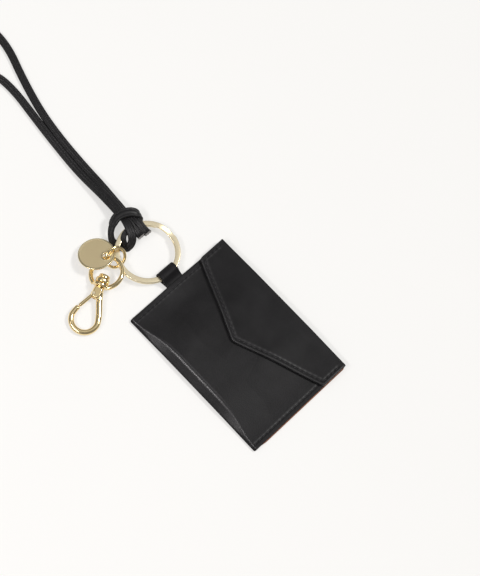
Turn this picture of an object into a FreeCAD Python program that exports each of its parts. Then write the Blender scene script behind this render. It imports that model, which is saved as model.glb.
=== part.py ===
# Lanyard badge holder: an envelope card pouch on a split ring, with a tag, a swivel
# clasp and a folded leather neck strap knotted to the same ring.
# Millimetres. X runs along the pouch away from the ring, Y towards the flap fold,
# Z up. The origin is the middle of the pouch's flat back, which lies on z = 0.
import FreeCAD, Part
import math
import os

V = FreeCAD.Vector
os.makedirs("parts", exist_ok=True)

# ---- driving dimensions ------------------------------------------------------------
LENGTH, DEPTH = 105.0, 75.0        # pouch, along X and along Y
HIDE, LINING = 1.2, 0.3            # leather and lining thickness
EDGE = 3.0                         # stitched side edges, two layers of each
CROWN = 7.8                        # top of the front panel over the card pocket
MOUTH_Y = 29.0                     # upper edge of the front panel, under the flap
FOLD_Y = 36.5                      # both fold lines of the flap's spine
FOLD_LOW, FOLD_HIGH = 1.0, 5.6     # their heights
SPINE_R = 1.0                      # half the spine's thickness
FLAP_OUT, FLAP_IN = 1.1, 0.9       # the flap's two layers
FLAP_SIDE, FLAP_TIP = 18.5, 41.0   # flap drop at its sides and at its point
FLAP_TIP_R, FLAP_CORNER_R = 6.0, 3.0
MAGNET_R, MAGNET_T = 5.0, 0.8
AXIS_CLEAR = 0.08                  # round a leather fold line

RING_X, RING_Y, RING_Z = -76.1, -1.3, 3.9
RING_R, RING_BAND, RING_TURN = 18.0, 3.2, 1.25   # middle radius, flat wire's section
RING_PITCH = 1.35
RING_CROSS = 100.0                 # where one turn crosses over to the other, degrees

TAB_W, TAB_T, TAB_BORE = 12.2, 1.1, 2.7
TAB_X = RING_X + RING_R - 0.5

JUMP_C, JUMP_N = V(-86.0, -17.9, 5.25), V(0.665, -0.08, 0.743)
JUMP_R, JUMP_WIRE = 6.1, 0.95
TAG_R, TAG_T, TAG_HOLE_R, TAG_HOLE_AT = 10.9, 1.1, 2.2, 6.2
TAG_N = V(-0.261, 0.075, 0.962)

AXIS = V(0.39, -0.921, -0.088)      # along the clasp, from eye to hook
EYE_C = V(-82.4, -28.3, 5.15)      # middle of the eye
EYE_R, EYE_WIRE, EYE_ROLL = 9.6, 1.15, 19.0
COLLAR_AT, COLLAR_R, COLLAR_T = 8.4, 4.3, 2.4
POST_R, POST_HEAD_R, POST_HEAD = 1.5, 3.7, 5.6
HOOK_R, HOOK_WIRE, HOOK_REACH = 7.9, 1.6, 22.0
GATE_WIRE = 1.1

STRAP_W, STRAP_T = 5.0, 2.4


# ---- small helpers -----------------------------------------------------------------
def save(name, shape):
    shape.exportStep("parts/%s.step" % name)


def unit(v):
    return V(v.x / v.Length, v.y / v.Length, v.z / v.Length)


def smooth(t):
    t = min(1.0, max(0.0, t))
    return t * t * (3.0 - 2.0 * t)


def frame(origin, x, y):
    """Placement whose local X and Y run along x and y."""
    x = unit(x)
    z = unit(x.cross(y))
    y = z.cross(x)
    m = FreeCAD.Matrix(x.x, y.x, z.x, origin.x, x.y, y.y, z.y, origin.y,
                       x.z, y.z, z.z, origin.z, 0, 0, 0, 1)
    return FreeCAD.Placement(m)


def placed(shape, placement):
    out = shape.copy()
    out.Placement = placement.multiply(out.Placement)
    return out


def prism(points, z0, z1):
    """Polygon in X and Y, extruded from z0 to z1."""
    ring = [V(x, y, z0) for x, y in points]
    return Part.Face(Part.makePolygon(ring + ring[:1])).extrude(V(0, 0, z1 - z0))


def spline(points):
    curve = Part.BSplineCurve()
    curve.interpolate(points)
    return curve.toShape()


# ---- the pouch ---------------------------------------------------------------------
def front_top(x, y):
    """Height of the front panel's outer face."""
    at_tab = 1.8 * math.exp(-((y - RING_Y) / 8.5) ** 2) * smooth((-x - 38.0) / 12.0)
    side = smooth((LENGTH / 2 - abs(x) - 3.5) / 24.0)
    across = smooth((y + DEPTH / 2 + 6.0) / 20.0)
    slope = 1.0 - 0.05 * (y + 20.0) / 50.0
    return EDGE + at_tab * (1.0 - side) + side * (CROWN * slope - EDGE) * across


STATIONS = [-52.5, -52.1, -51.3, -50.0, -48.0, -44.0, -39.0, -33.0, -26.0, -14.0, 0.0,
            14.0, 26.0, 33.0, 39.0, 44.0, 48.0, 50.0, 51.3, 52.1, 52.5]
CORNER_R = 2.5


def corner(x):
    """How far the rounded lower corner draws the bottom edge in at x."""
    over = max(0.0, abs(x) - (LENGTH / 2 - CORNER_R)) * 0.985
    return CORNER_R - math.sqrt(CORNER_R ** 2 - over ** 2)


def panel_profile(x, inset, mouth, sink):
    """Closed section across the pouch at x: flat back, folded lower edge, domed front."""
    y0 = -DEPTH / 2 + inset + corner(x)
    z0 = inset - sink
    steps = 14
    top = []
    for i in range(steps + 1):
        y = mouth + (y0 + 2.6 - mouth) * i / steps
        top.append(V(x, y, front_top(x, y) - inset))
    knee = top[-1]
    half = (knee.z + z0) / 2.0
    bulge = [V(x, y0 + 1.2, z0 + (knee.z - z0) * 0.93), V(x, y0 + 0.25, z0 + (knee.z - z0) * 0.75),
             V(x, y0, half), V(x, y0 + 0.4, z0 + (knee.z - z0) * 0.2)]
    start = V(x, y0 + 1.8, z0)
    curve = spline(top + bulge + [start])
    base = Part.makeLine(start, V(x, mouth, z0))
    wall = Part.makeLine(V(x, mouth, z0), top[0])
    return Part.Wire([base, wall, curve])


def panel_body(inset, mouth, reach, sink=0.0):
    xs = [max(-reach, min(reach, x)) for x in STATIONS]
    xs = sorted(set(xs))
    return Part.makeLoft([panel_profile(x, inset, mouth, sink) for x in xs], True, False)


def leather_shell():
    # the loft starts a little low and is planed off, so the back is one true plane
    shell = panel_body(0.0, MOUTH_Y, LENGTH / 2, sink=0.1)
    shell = shell.cut(Part.makeBox(LENGTH + 20, DEPTH + 20, 5.0,
                                   V(-LENGTH / 2 - 10, -DEPTH / 2 - 10, -5.0)))
    pocket = panel_body(HIDE, MOUTH_Y + 5.0, LENGTH / 2 - 4.2)
    shell = shell.cut(pocket)
    # the back runs on past the pocket's mouth to the lower fold line
    back = Part.makeBox(LENGTH, FOLD_Y - MOUTH_Y + 1.0, 2.0, V(-LENGTH / 2, MOUTH_Y - 1.0, 0))
    keep_out = Part.makeBox(LENGTH, 20.0, 5.0, V(-LENGTH / 2, MOUTH_Y - 6.0, HIDE))
    shell = shell.fuse(back.cut(keep_out)).removeSplitter()
    shell = shell.cut(Part.makeCylinder(SPINE_R + AXIS_CLEAR, LENGTH + 2.0,
                                        V(-LENGTH / 2 - 1.0, FOLD_Y, FOLD_LOW), V(1, 0, 0)))
    return shell


def lining_shell():
    outer = panel_body(HIDE, MOUTH_Y - 0.5, LENGTH / 2 - 4.2)
    inner = panel_body(HIDE + LINING, MOUTH_Y + 3.0, LENGTH / 2 - 7.0)
    return outer.cut(inner)


# ---- the flap ----------------------------------------------------------------------
def flap_under(x, y):
    """Height of the flap's inner face: over the front panel, then down to the fold."""
    drop = smooth((y - MOUTH_Y - 0.3) / (FOLD_Y - SPINE_R - MOUTH_Y - 0.5))
    low = FOLD_HIGH - SPINE_R
    body = front_top(x, min(y, MOUTH_Y)) + 0.35
    return body * (1.0 - drop) + low * drop


def flap_layer(z_in, z_out):
    """One layer of the flap before it is cut to shape."""
    y_end = DEPTH / 2 - FLAP_TIP - 3.0
    sections = []
    for x in STATIONS:
        ys = [FOLD_Y - SPINE_R * 0.2 + (y_end - FOLD_Y) * i / 22.0 for i in range(23)]
        low = [V(x, y, flap_under(x, y) + z_in) for y in ys]
        high = [V(x, y, flap_under(x, y) + z_out) for y in reversed(ys)]
        sections.append(Part.Wire([spline(low), Part.makeLine(low[-1], high[0]), spline(high),
                                   Part.makeLine(high[-1], low[0])]))
    return Part.makeLoft(sections, True, False)


def flap_outline():
    """Prism of the pointed flap with its rounded point and corners."""
    top = FOLD_Y + 1.0
    tip = V(-2.5, DEPTH / 2 - FLAP_TIP, 0)
    side_y = DEPTH / 2 - FLAP_SIDE
    half = LENGTH / 2
    pts = [V(-half, top, 0), V(-half, side_y, 0), tip, V(half, side_y, 0), V(half, top, 0)]
    radii = {1: FLAP_CORNER_R, 2: FLAP_TIP_R, 3: FLAP_CORNER_R}
    edges, last = [], pts[0]
    for i in range(1, 4):
        a, b = unit(pts[i - 1] - pts[i]), unit(pts[i + 1] - pts[i])
        half_angle = a.getAngle(b) / 2.0
        reach = radii[i] / math.tan(half_angle)
        p, q = pts[i] + a * reach, pts[i] + b * reach
        mid = pts[i] + unit(a + b) * (radii[i] / math.sin(half_angle) - radii[i])
        edges += [Part.makeLine(last, p), Part.Arc(p, mid, q).toShape()]
        last = q
    edges += [Part.makeLine(last, pts[4]), Part.makeLine(pts[4], pts[0])]
    return Part.Face(Part.Wire(edges)).extrude(V(0, 0, 30)).translate(V(0, 0, -5))


def flap_solids():
    outline = flap_outline()
    socket = Part.makeCylinder(SPINE_R + AXIS_CLEAR, LENGTH + 2.0,
                               V(-LENGTH / 2 - 1.0, FOLD_Y, FOLD_HIGH), V(1, 0, 0))
    behind = Part.makeBox(LENGTH + 2, 5, 20, V(-LENGTH / 2 - 1, FOLD_Y - 0.45, -5))
    below = Part.makeBox(LENGTH + 2, 3, FOLD_HIGH, V(-LENGTH / 2 - 1,
                         FOLD_Y - SPINE_R - AXIS_CLEAR, 0))
    behind = behind.fuse(below)
    tip_zone = V(-2.5, 6.0, flap_under(-2.5, 6.0) + FLAP_IN)
    magnet = Part.makeCylinder(MAGNET_R, MAGNET_T, tip_zone - V(0, 0, MAGNET_T - 0.1))
    inner = flap_layer(0.0, FLAP_IN).common(outline).cut(socket).cut(behind).cut(magnet)
    outer = flap_layer(FLAP_IN, FLAP_IN + FLAP_OUT).common(outline).cut(socket).cut(behind)
    outer = outer.cut(magnet)
    low = Part.makeCylinder(MAGNET_R, MAGNET_T, V(-2.5, 6.0, front_top(-2.5, 6.0) - HIDE - 0.1))
    return outer, inner, magnet, low


def spine():
    """Upright strip of leather between the flap's two fold lines."""
    x0 = -LENGTH / 2
    body = Part.makeBox(LENGTH, 2 * SPINE_R, FOLD_HIGH - FOLD_LOW,
                        V(x0, FOLD_Y - SPINE_R, FOLD_LOW))
    for z in (FOLD_LOW, FOLD_HIGH):
        body = body.fuse(Part.makeCylinder(SPINE_R, LENGTH, V(x0, FOLD_Y, z), V(1, 0, 0)))
    return body.removeSplitter()


# ---- tab and rings -----------------------------------------------------------------
def teardrop(r, x_end, half):
    """Outline in X and Z: a circle round the ring drawn out along its tangents."""
    centre, ez = V(TAB_X, 0, RING_Z), EDGE / 2 + 1.1
    ends = [V(x_end, 0, ez - half), V(x_end, 0, ez + half)]
    touch = []
    for end, way in zip(ends, (-1, 1)):
        d = end - centre
        a = math.atan2(d.z, d.x) + way * math.acos(r / d.Length)
        touch.append(centre + V(r * math.cos(a), 0, r * math.sin(a)))
    return Part.Wire([Part.Arc(touch[1], centre - V(r, 0, 0), touch[0]).toShape(),
                      Part.makeLine(touch[0], ends[0]), Part.makeLine(ends[0], ends[1]),
                      Part.makeLine(ends[1], touch[1])])


def ring_tab():
    start = V(0, RING_Y - TAB_W / 2, 0)
    outer = Part.Face(teardrop(TAB_BORE + TAB_T, -53.0, TAB_T)).extrude(V(0, TAB_W, 0))
    inner = Part.Face(teardrop(TAB_BORE, -54.6, 0.1)).extrude(V(0, TAB_W, 0))
    tab = outer.cut(inner).translate(start)
    ez = EDGE / 2 + 1.1
    tongue = Part.makeBox(8.2, TAB_W, 2 * TAB_T, V(-53.2, RING_Y - TAB_W / 2, ez - TAB_T))
    return tab.fuse(tongue).removeSplitter(), tongue


def split_ring():
    """Two flat turns of one wire, with the step where it crosses from one to the other."""
    pts = []
    start, turns = RING_CROSS + 22.0, 720.0 - 44.0
    steps = 150
    for i in range(steps + 1):
        a = start + turns * i / steps
        into = (a - (RING_CROSS + 360.0 - 20.0)) / 40.0
        z = RING_Z - RING_PITCH / 2 + RING_PITCH * smooth(into)
        t = math.radians(a)
        pts.append(V(RING_X + RING_R * math.cos(t), RING_Y + RING_R * math.sin(t), z))
    path = Part.Wire([spline(pts)])
    t = math.radians(start)
    out = V(math.cos(t), math.sin(t), 0)
    p, w, h = pts[0], RING_BAND / 2, RING_TURN / 2
    corners = [p + out * sx * w + V(0, 0, sz * h) for sx, sz in ((-1, -1), (1, -1), (1, 1), (-1, 1))]
    section = Part.makePolygon(corners + corners[:1])
    shell = Part.BRepOffsetAPI.MakePipeShell(path)
    shell.setBiNormalMode(V(0, 0, 1))
    shell.add(section, False, False)
    shell.build()
    shell.makeSolid()
    return shell.shape()


def jump_ring():
    return Part.makeTorus(JUMP_R, JUMP_WIRE, JUMP_C, JUMP_N)


def jump_point(target):
    """Point of the jump ring's wire nearest a target."""
    n = unit(JUMP_N)
    d = target - JUMP_C
    d = d - n * d.dot(n)
    return JUMP_C + unit(d) * JUMP_R


TAG_HOLE = jump_point(V(-89.8, -22.6, 7.6))
_n = unit(TAG_N)
_d = V(-95.2, -25.6, 6.0) - TAG_HOLE
TAG_DIR = unit(_d - _n * _d.dot(_n))
TAG_C = TAG_HOLE + TAG_DIR * TAG_HOLE_AT


def tag():
    disc = Part.makeCylinder(TAG_R, TAG_T, V(0, 0, -TAG_T / 2))
    hole = Part.makeCylinder(TAG_HOLE_R, TAG_T + 1, V(TAG_HOLE_AT, 0, -TAG_T / 2 - 0.5))
    disc = disc.cut(hole)
    edges = [e for e in disc.Edges if e.Curve.TypeId == "Part::GeomCircle"]
    disc = disc.makeFillet(0.3, edges)
    return placed(disc, frame(TAG_C, TAG_DIR * -1.0, _n.cross(TAG_DIR * -1.0)))


# ---- the clasp: local X runs along the clasp, local Y across it ----------------------
ALONG = unit(AXIS)
FLAT = unit(V(-AXIS.y, AXIS.x, 0))
_up = unit(ALONG.cross(FLAT))
_r = math.radians(EYE_ROLL)
ROLLED = unit(FLAT * math.cos(_r) + _up * math.sin(_r))
EYE_FRAME = frame(EYE_C, ALONG, ROLLED)
HOOK_FRAME = frame(EYE_C + ALONG * COLLAR_AT, ALONG, FLAT)


def bail():
    eye = Part.makeTorus(EYE_R, EYE_WIRE)
    bottom = Part.makeBox(6, 30, 10, V(COLLAR_AT - 1.0, -15, -5))
    eye = eye.cut(bottom)
    collar = Part.makeCylinder(COLLAR_R, COLLAR_T, V(COLLAR_AT - COLLAR_T / 2, 0, 0), V(1, 0, 0))
    rims = [e for e in collar.Edges if e.Curve.TypeId == "Part::GeomCircle"]
    collar = collar.makeFillet(0.5, rims)
    bore = Part.makeCylinder(POST_R + 0.08, 8, V(COLLAR_AT - 4, 0, 0), V(1, 0, 0))
    return placed(eye.fuse(collar).cut(bore), EYE_FRAME)


def revolve_x(profile):
    """Revolve an X and radius profile round local X."""
    pts = [V(x, r, 0) for x, r in profile]
    face = Part.Face(Part.makePolygon(pts + pts[:1]))
    return face.revolve(V(0, 0, 0), V(1, 0, 0), 360)


def swivel_post():
    face = -COLLAR_T / 2 - 0.1
    head = [(face - POST_HEAD, 0), (face - POST_HEAD, 2.3), (face - POST_HEAD + 0.8, 2.9),
            (face - 3.6, 3.0), (face - 3.1, POST_HEAD_R - 0.2), (face - 2.8, POST_HEAD_R),
            (face - 0.5, POST_HEAD_R), (face, POST_HEAD_R - 0.4), (face, POST_R),
            (4.0, POST_R), (4.0, 0)]
    return placed(revolve_x(head), HOOK_FRAME)


def wire_sweep(points, radius, first, flat=V(0, 0, 1)):
    """Round wire along a smooth path that stays square to flat."""
    edge = spline(points) if len(points) > 2 else Part.makeLine(points[0], points[1])
    shell = Part.BRepOffsetAPI.MakePipeShell(Part.Wire([edge]))
    shell.setBiNormalMode(flat)
    shell.add(Part.Wire([Part.makeCircle(radius, points[0], first)]), False, True)
    shell.build()
    shell.makeSolid()
    return shell.shape()


def hook_body():
    """Head with its fork, the solid limb, the bow and the nose."""
    c, r = HOOK_REACH, HOOK_R
    pts = [V(5.0, 1.9, 0), V(9.5, 3.5, 0), V(15.0, 5.9, 0), V(19.0, 7.3, 0)]
    for k in range(0, 13):
        a = math.radians(90 - 15 * k)
        pts.append(V(c + r * math.cos(a), r * math.sin(a), 0))
    pts += [V(19.0, -7.3, 0), V(16.2, -6.3, 0)]
    limb = wire_sweep(pts, HOOK_WIRE, V(4.5, 1.6, 0))
    nose = Part.makeSphere(HOOK_WIRE, pts[-1])
    head = [(1.3, 0), (1.3, 2.6), (1.9, 3.0), (3.0, 3.2), (7.2, 3.3), (8.2, 2.4), (8.6, 0)]
    head = revolve_x(head)
    slab = Part.makeBox(10, 8, 5.0, V(0.5, -4, -2.5))
    head = head.common(slab)
    post_bore = Part.makeCylinder(POST_R, 3.0, V(1.0, 0, 0), V(1, 0, 0))
    fork = Part.makeBox(6.3, 5.6, 2.4, V(4.0, -5.2, -1.2))
    pin = Part.makeCylinder(0.75, 6, V(6.0, -1.6, -3))
    body = limb.fuse(nose).fuse(head).cut(fork).cut(post_bore).cut(pin)
    # the nose is notched where the gate closes on it
    notch = Part.makeCylinder(GATE_WIRE + 0.35, 6, V(11.6, -4.35, 0), unit(V(1, -0.42, 0)))
    inward = V(-GATE_END.y + GATE_PIVOT.y, GATE_END.x - GATE_PIVOT.x, 0)
    notch = notch.fuse(Part.makeSphere(GATE_WIRE + 0.35, GATE_END))
    notch = notch.fuse(Part.makeCylinder(GATE_WIRE + 0.35, 4.5, GATE_END, inward))
    body = body.cut(notch)
    return placed(body, HOOK_FRAME)


GATE_PIVOT = V(6.0, -1.6, 0)
GATE_END = V(15.4, -5.9, 0)


def gate():
    run = GATE_END - GATE_PIVOT
    rod = Part.makeCylinder(GATE_WIRE, run.Length, GATE_PIVOT, run)
    rod = rod.fuse(Part.makeSphere(GATE_WIRE, GATE_END))
    knuckle = Part.makeCylinder(1.7, 2.2, GATE_PIVOT - V(0, 0, 1.1))
    lid = rod.fuse(knuckle).cut(Part.makeCylinder(0.8, 6, GATE_PIVOT - V(0, 0, 3)))
    spring_slot = Part.makeCylinder(1.35, 1.0, GATE_PIVOT - V(0, 0, 0.5))
    return placed(lid.cut(spring_slot), HOOK_FRAME)


def gate_pin():
    return placed(Part.makeCylinder(0.75, 5.0, GATE_PIVOT - V(0, 0, 2.5)), HOOK_FRAME)


def gate_spring():
    coil = Part.makeCylinder(1.25, 0.8, GATE_PIVOT - V(0, 0, 0.4))
    coil = coil.cut(Part.makeCylinder(0.85, 2, GATE_PIVOT - V(0, 0, 1)))
    return placed(coil, HOOK_FRAME)


# ---- the strap ---------------------------------------------------------------------
def strap_section(p, along, side):
    side = unit(side)
    up = unit(along.cross(side))
    w, t, r = STRAP_W / 2, STRAP_T / 2, 0.7
    def at(a, b):
        return p + side * a + up * b
    c = 0.7071 * r
    edges = []
    corners = ((1, 1), (-1, 1), (-1, -1), (1, -1))
    arcs = []
    for sx, sz in corners:
        a, b = at(sx * w, sz * (t - r)), at(sx * (w - r), sz * t)
        m = at(sx * (w - r + c), sz * (t - r + c))
        arcs.append((a, m, b) if sx * sz > 0 else (b, m, a))
    for i, (a, m, b) in enumerate(arcs):
        edges.append(Part.Arc(a, m, b).toShape())
        nxt = arcs[(i + 1) % 4][0]
        edges.append(Part.makeLine(b, nxt))
    return Part.Wire(edges)


def run_path(points):
    """Straight runs joined by tangent arcs; returns the wire, its length and radii."""
    lengths = [(points[i + 1] - points[i]).Length for i in range(len(points) - 1)]
    edges, last, total, radii = [], points[0], 0.0, []
    for i in range(1, len(points) - 1):
        a, b = unit(points[i - 1] - points[i]), unit(points[i + 1] - points[i])
        turn = math.pi - a.getAngle(b)
        reach = 0.45 * min(lengths[i - 1], lengths[i])
        radius = reach / math.tan(turn / 2)
        p, q = points[i] + a * reach, points[i] + b * reach
        mid = points[i] + unit(a + b) * (radius / math.cos(turn / 2) - radius)
        edges += [Part.makeLine(last, p), Part.Arc(p, mid, q).toShape()]
        total += (p - last).Length + radius * turn
        radii.append(radius)
        last = q
    edges.append(Part.makeLine(last, points[-1]))
    total += (points[-1] - last).Length
    return Part.Wire(edges), total, radii


def strap_run(points, name):
    path, total, radii = run_path(points)
    along = points[1] - points[0]
    side = V(0, 0, 1).cross(along)
    shell = Part.BRepOffsetAPI.MakePipeShell(path)
    shell.setBiNormalMode(V(0, 0, 1))
    shell.add(strap_section(points[0], along, side), False, False)
    shell.build()
    shell.makeSolid()
    solid = shell.shape()
    print("%s: length %.1f mm, tightest radius %.1f mm, volume ratio %.3f"
          % (name, total, min(radii), solid.Volume / (total * (STRAP_W * STRAP_T - 0.42))))
    return solid


LEG_A = [V(-105.8, 6.1, 7.6), V(-121.0, 7.1, 4.6), V(-140.0, 8.6, 1.9), V(-163.0, 10.1, 1.3),
         V(-185.0, 13.4, 1.3), V(-209.0, 17.7, 1.3), V(-232.0, 24.0, 1.3), V(-252.0, 25.0, 1.3),
         V(-270.0, 18.0, 1.3)]
LEG_B = [V(-106.2, 0.2, 7.6), V(-121.0, 1.5, 4.2), V(-140.0, 3.1, 1.8), V(-163.0, 4.8, 1.3),
         V(-185.0, 6.8, 1.3), V(-205.0, 8.2, 1.3), V(-220.0, 6.0, 1.3), V(-230.5, -1.0, 1.3)]
COIL_X, COIL_Y, COIL_R = -262.0, -16.0, 28.0


def strap_coil():
    outer, inner = COIL_R + STRAP_W / 2 + 1.0, COIL_R - STRAP_W / 2 - 1.0
    at = V(COIL_X, COIL_Y, 0.0)
    coil = Part.makeCylinder(outer, 10.0, at).cut(Part.makeCylinder(inner, 12.0, at - V(0, 0, 1)))
    rims = [e for e in coil.Edges if e.Curve.TypeId == "Part::GeomCircle"]
    return coil.makeFillet(1.4, rims)


def coil_tie():
    """Flat tie wrapped once round the coil's bundle."""
    w = STRAP_W + 2.0 + 2.6
    outer = Part.makeBox(w, 6.0, 11.6, V(COIL_X - COIL_R - w / 2, COIL_Y - 3.0, 0.0))
    outer = outer.makeFillet(1.0, [e for e in outer.Edges if abs(e.Length - 6.0) < 1e-6])
    hole = Part.makeBox(STRAP_W + 2.6, 8.0, 10.4, V(COIL_X - COIL_R - STRAP_W / 2 - 1.3,
                                                  COIL_Y - 4.0, 0.0))
    return outer.cut(hole)


def strap_band(points, width, thick, tilt):
    """A stretch of strap in the knot: rounded section swept along a smooth curve."""
    path = spline(points)
    along = path.tangentAt(path.FirstParameter)
    side = unit(tilt.cross(along))
    up = unit(along.cross(side))
    p = points[0]
    ellipse = Part.Ellipse(p + side * (width / 2), p + up * (thick / 2), p)
    section = Part.Wire([ellipse.toShape()])
    shell = Part.BRepOffsetAPI.MakePipeShell(Part.Wire([path]))
    shell.setBiNormalMode(tilt)
    shell.add(section, False, False)
    shell.build()
    shell.makeSolid()
    return shell.shape()


# the collar of the hitch, its two strands down to the ring, the loop under the ring
# and the cut tails
KNOT_BANDS = [
    ([V(-90.0, 8.6, 6.2), V(-93.0, 11.0, 8.4), V(-98.6, 10.4, 9.8), V(-102.6, 6.0, 9.6),
      V(-103.2, -1.0, 8.2), V(-100.2, -8.0, 6.2), V(-96.6, -11.4, 3.4), V(-92.0, -12.2, 1.6),
      V(-87.0, -9.6, 1.7)], 4.4, 2.6, V(0.25, 0.15, 1)),
    ([V(-90.4, 5.4, 5.6), V(-93.4, 7.4, 8.6), V(-97.0, 6.8, 9.8), V(-99.6, 3.2, 9.4),
      V(-100.0, -1.6, 8.2), V(-98.2, -6.4, 6.4), V(-95.6, -8.8, 3.4), V(-91.6, -9.4, 1.6),
      V(-87.0, -8.2, 1.7)], 3.6, 2.6, V(0.25, 0.15, 1)),
    ([V(-107.5, 3.4, 7.6), V(-102.0, 4.2, 7.4), V(-96.6, 3.4, 7.6), V(-91.6, 0.6, 7.6),
      V(-87.6, -3.4, 6.6), V(-85.6, -7.6, 3.4)], 4.8, 2.6, V(0, 0, 1)),
    ([V(-96.0, 5.6, 7.0), V(-91.0, 5.2, 7.4), V(-86.2, 4.0, 7.0), V(-83.6, 3.0, 5.6)],
     6.4, 2.4, V(0, 0, 1)),
    ([V(-101.0, 2.0, 1.5), V(-95.0, 0.6, 1.4), V(-89.4, -2.6, 1.4), V(-85.6, -7.6, 2.0)],
     5.4, 2.4, V(0, 0, 1)),
]


def knot():
    """The strap's hitch round the ring as one closed solid."""
    solid = None
    for points, width, thick, tilt in KNOT_BANDS:
        band = strap_band(points, width, thick, tilt)
        solid = band if solid is None else solid.fuse(band)
    inner, outer = RING_R - RING_BAND / 2 - 0.1, RING_R + RING_BAND / 2 + 0.1
    low, tall = RING_Z - 1.6, 3.05
    groove = Part.makeCylinder(outer, tall, V(RING_X, RING_Y, low))
    groove = groove.cut(Part.makeCylinder(inner, tall, V(RING_X, RING_Y, low)))
    return solid.cut(groove)


if __name__ == "__main__":
    tab, tongue = ring_tab()
    outer = leather_shell().cut(tongue)
    lining = lining_shell().cut(tongue)
    flap_out, flap_in, magnet_up, magnet_low = flap_solids()
    save("outer_leather", outer.cut(magnet_low))
    save("pocket_lining", lining.cut(magnet_low))
    save("flap_spine", spine())
    save("flap_outer", flap_out)
    save("flap_lining", flap_in)
    save("flap_magnet", magnet_up)
    save("pocket_magnet", magnet_low)
    save("ring_tab", tab)
    save("jump_ring", jump_ring())
    save("tag_disc", tag())
    save("clasp_bail", bail())
    save("swivel_post", swivel_post())
    save("hook_body", hook_body())
    save("hook_gate", gate())
    save("gate_pin", gate_pin())
    save("gate_spring", gate_spring())
    ring = split_ring()
    save("split_ring", ring)
    hitch = knot()
    save("strap_knot", hitch)
    save("strap_leg_a", strap_run(LEG_A, "strap_leg_a").cut(hitch))
    save("strap_leg_b", strap_run(LEG_B, "strap_leg_b").cut(hitch))
    save("strap_coil", strap_coil())
    save("coil_tie", coil_tie())
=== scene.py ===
# Lanyard badge holder in black leather with pale gold fittings: the envelope pouch,
# its flap, the split ring with a tag and a swivel clasp, and the knotted neck strap.
import bpy
import bmesh
import math
import numpy as np
from mathutils import Vector, Matrix


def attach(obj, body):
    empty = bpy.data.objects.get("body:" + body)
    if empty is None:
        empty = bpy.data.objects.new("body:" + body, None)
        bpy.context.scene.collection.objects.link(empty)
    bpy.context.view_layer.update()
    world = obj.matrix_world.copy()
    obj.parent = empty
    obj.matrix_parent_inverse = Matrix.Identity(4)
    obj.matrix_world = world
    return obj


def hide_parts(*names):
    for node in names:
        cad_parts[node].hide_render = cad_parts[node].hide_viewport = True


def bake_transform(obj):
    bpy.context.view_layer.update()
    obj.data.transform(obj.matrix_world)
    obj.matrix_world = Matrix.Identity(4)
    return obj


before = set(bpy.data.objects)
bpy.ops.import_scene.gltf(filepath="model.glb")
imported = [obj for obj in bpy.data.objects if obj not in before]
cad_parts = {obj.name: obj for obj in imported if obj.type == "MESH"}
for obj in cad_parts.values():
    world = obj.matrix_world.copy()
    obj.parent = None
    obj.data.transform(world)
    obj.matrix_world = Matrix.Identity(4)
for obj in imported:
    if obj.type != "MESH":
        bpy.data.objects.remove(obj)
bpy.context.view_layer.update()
MM = 0.001

# ---- sizes, in millimetres, as the solids have them ---------------------------------
LENGTH, DEPTH, HIDE, EDGE, CROWN = 105.0, 75.0, 1.2, 3.0, 7.8
MOUTH_Y, FOLD_Y, FOLD_LOW, FOLD_HIGH, SPINE_R = 29.0, 36.5, 1.0, 5.6, 1.0
FLAP_OUT, FLAP_IN, FLAP_SIDE, FLAP_TIP = 1.1, 0.9, 18.5, 41.0
FLAP_TIP_R, FLAP_CORNER_R, CORNER_R = 6.0, 3.0, 1.0
RING_C = np.array((-76.1, -1.3, 3.9))
RING_R, RING_BAND, RING_TURN, RING_PITCH, RING_CROSS = 18.0, 3.2, 1.25, 1.35, 100.0
TAB_W, TAB_T, TAB_BORE, TAB_X = 12.2, 1.1, 2.7, -58.6
JUMP_C, JUMP_N = np.array((-86.0, -17.9, 5.25)), np.array((0.665, -0.08, 0.743))
JUMP_R, JUMP_WIRE = 6.1, 0.95
TAG_R, TAG_T, TAG_HOLE_R, TAG_HOLE_AT = 10.9, 1.1, 2.2, 6.2
TAG_N = np.array((-0.261, 0.075, 0.962))
AXIS, EYE_C = np.array((0.39, -0.921, -0.088)), np.array((-82.4, -28.3, 5.15))
EYE_R, EYE_WIRE, EYE_ROLL = 9.6, 1.15, 19.0
COLLAR_AT, COLLAR_R, COLLAR_T = 8.4, 4.3, 2.4
POST_R, POST_HEAD_R, POST_HEAD = 1.5, 3.7, 5.6
HOOK_R, HOOK_WIRE, HOOK_REACH = 7.9, 1.75, 22.0
GATE_WIRE, GATE_PIVOT, GATE_END = 1.1, np.array((6.0, -1.6, 0)), np.array((15.4, -5.9, 0))
STRAP_W, STRAP_T, STRAP_STITCH_IN = 5.0, 2.4, 1.6


# ---- shaping helpers -----------------------------------------------------------------
def unit(v):
    v = np.asarray(v, float)
    return v / np.linalg.norm(v)


def units(rows):
    """Each row of an array at length one."""
    return rows / np.linalg.norm(rows, axis=1)[:, None]


def smooth(t):
    t = np.clip(t, 0.0, 1.0)
    return t * t * (3.0 - 2.0 * t)


def axes(origin, x, y):
    """Function from local millimetres to the row frame, for local X and Y directions."""
    x = unit(x)
    z = unit(np.cross(x, y))
    basis, origin = np.array([x, np.cross(z, x), z]), np.asarray(origin, float)
    return lambda p: np.asarray(p, float) @ basis + origin


def grid(rows, cols, wrap_rows=False, wrap_cols=False, start=0):
    """Quads of a grid of points, joined round where it wraps."""
    faces = []
    for r in range(rows if wrap_rows else rows - 1):
        for c in range(cols if wrap_cols else cols - 1):
            r2, c2 = (r + 1) % rows, (c + 1) % cols
            faces.append((start + r * cols + c, start + r2 * cols + c,
                          start + r2 * cols + c2, start + r * cols + c2))
    return faces


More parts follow.
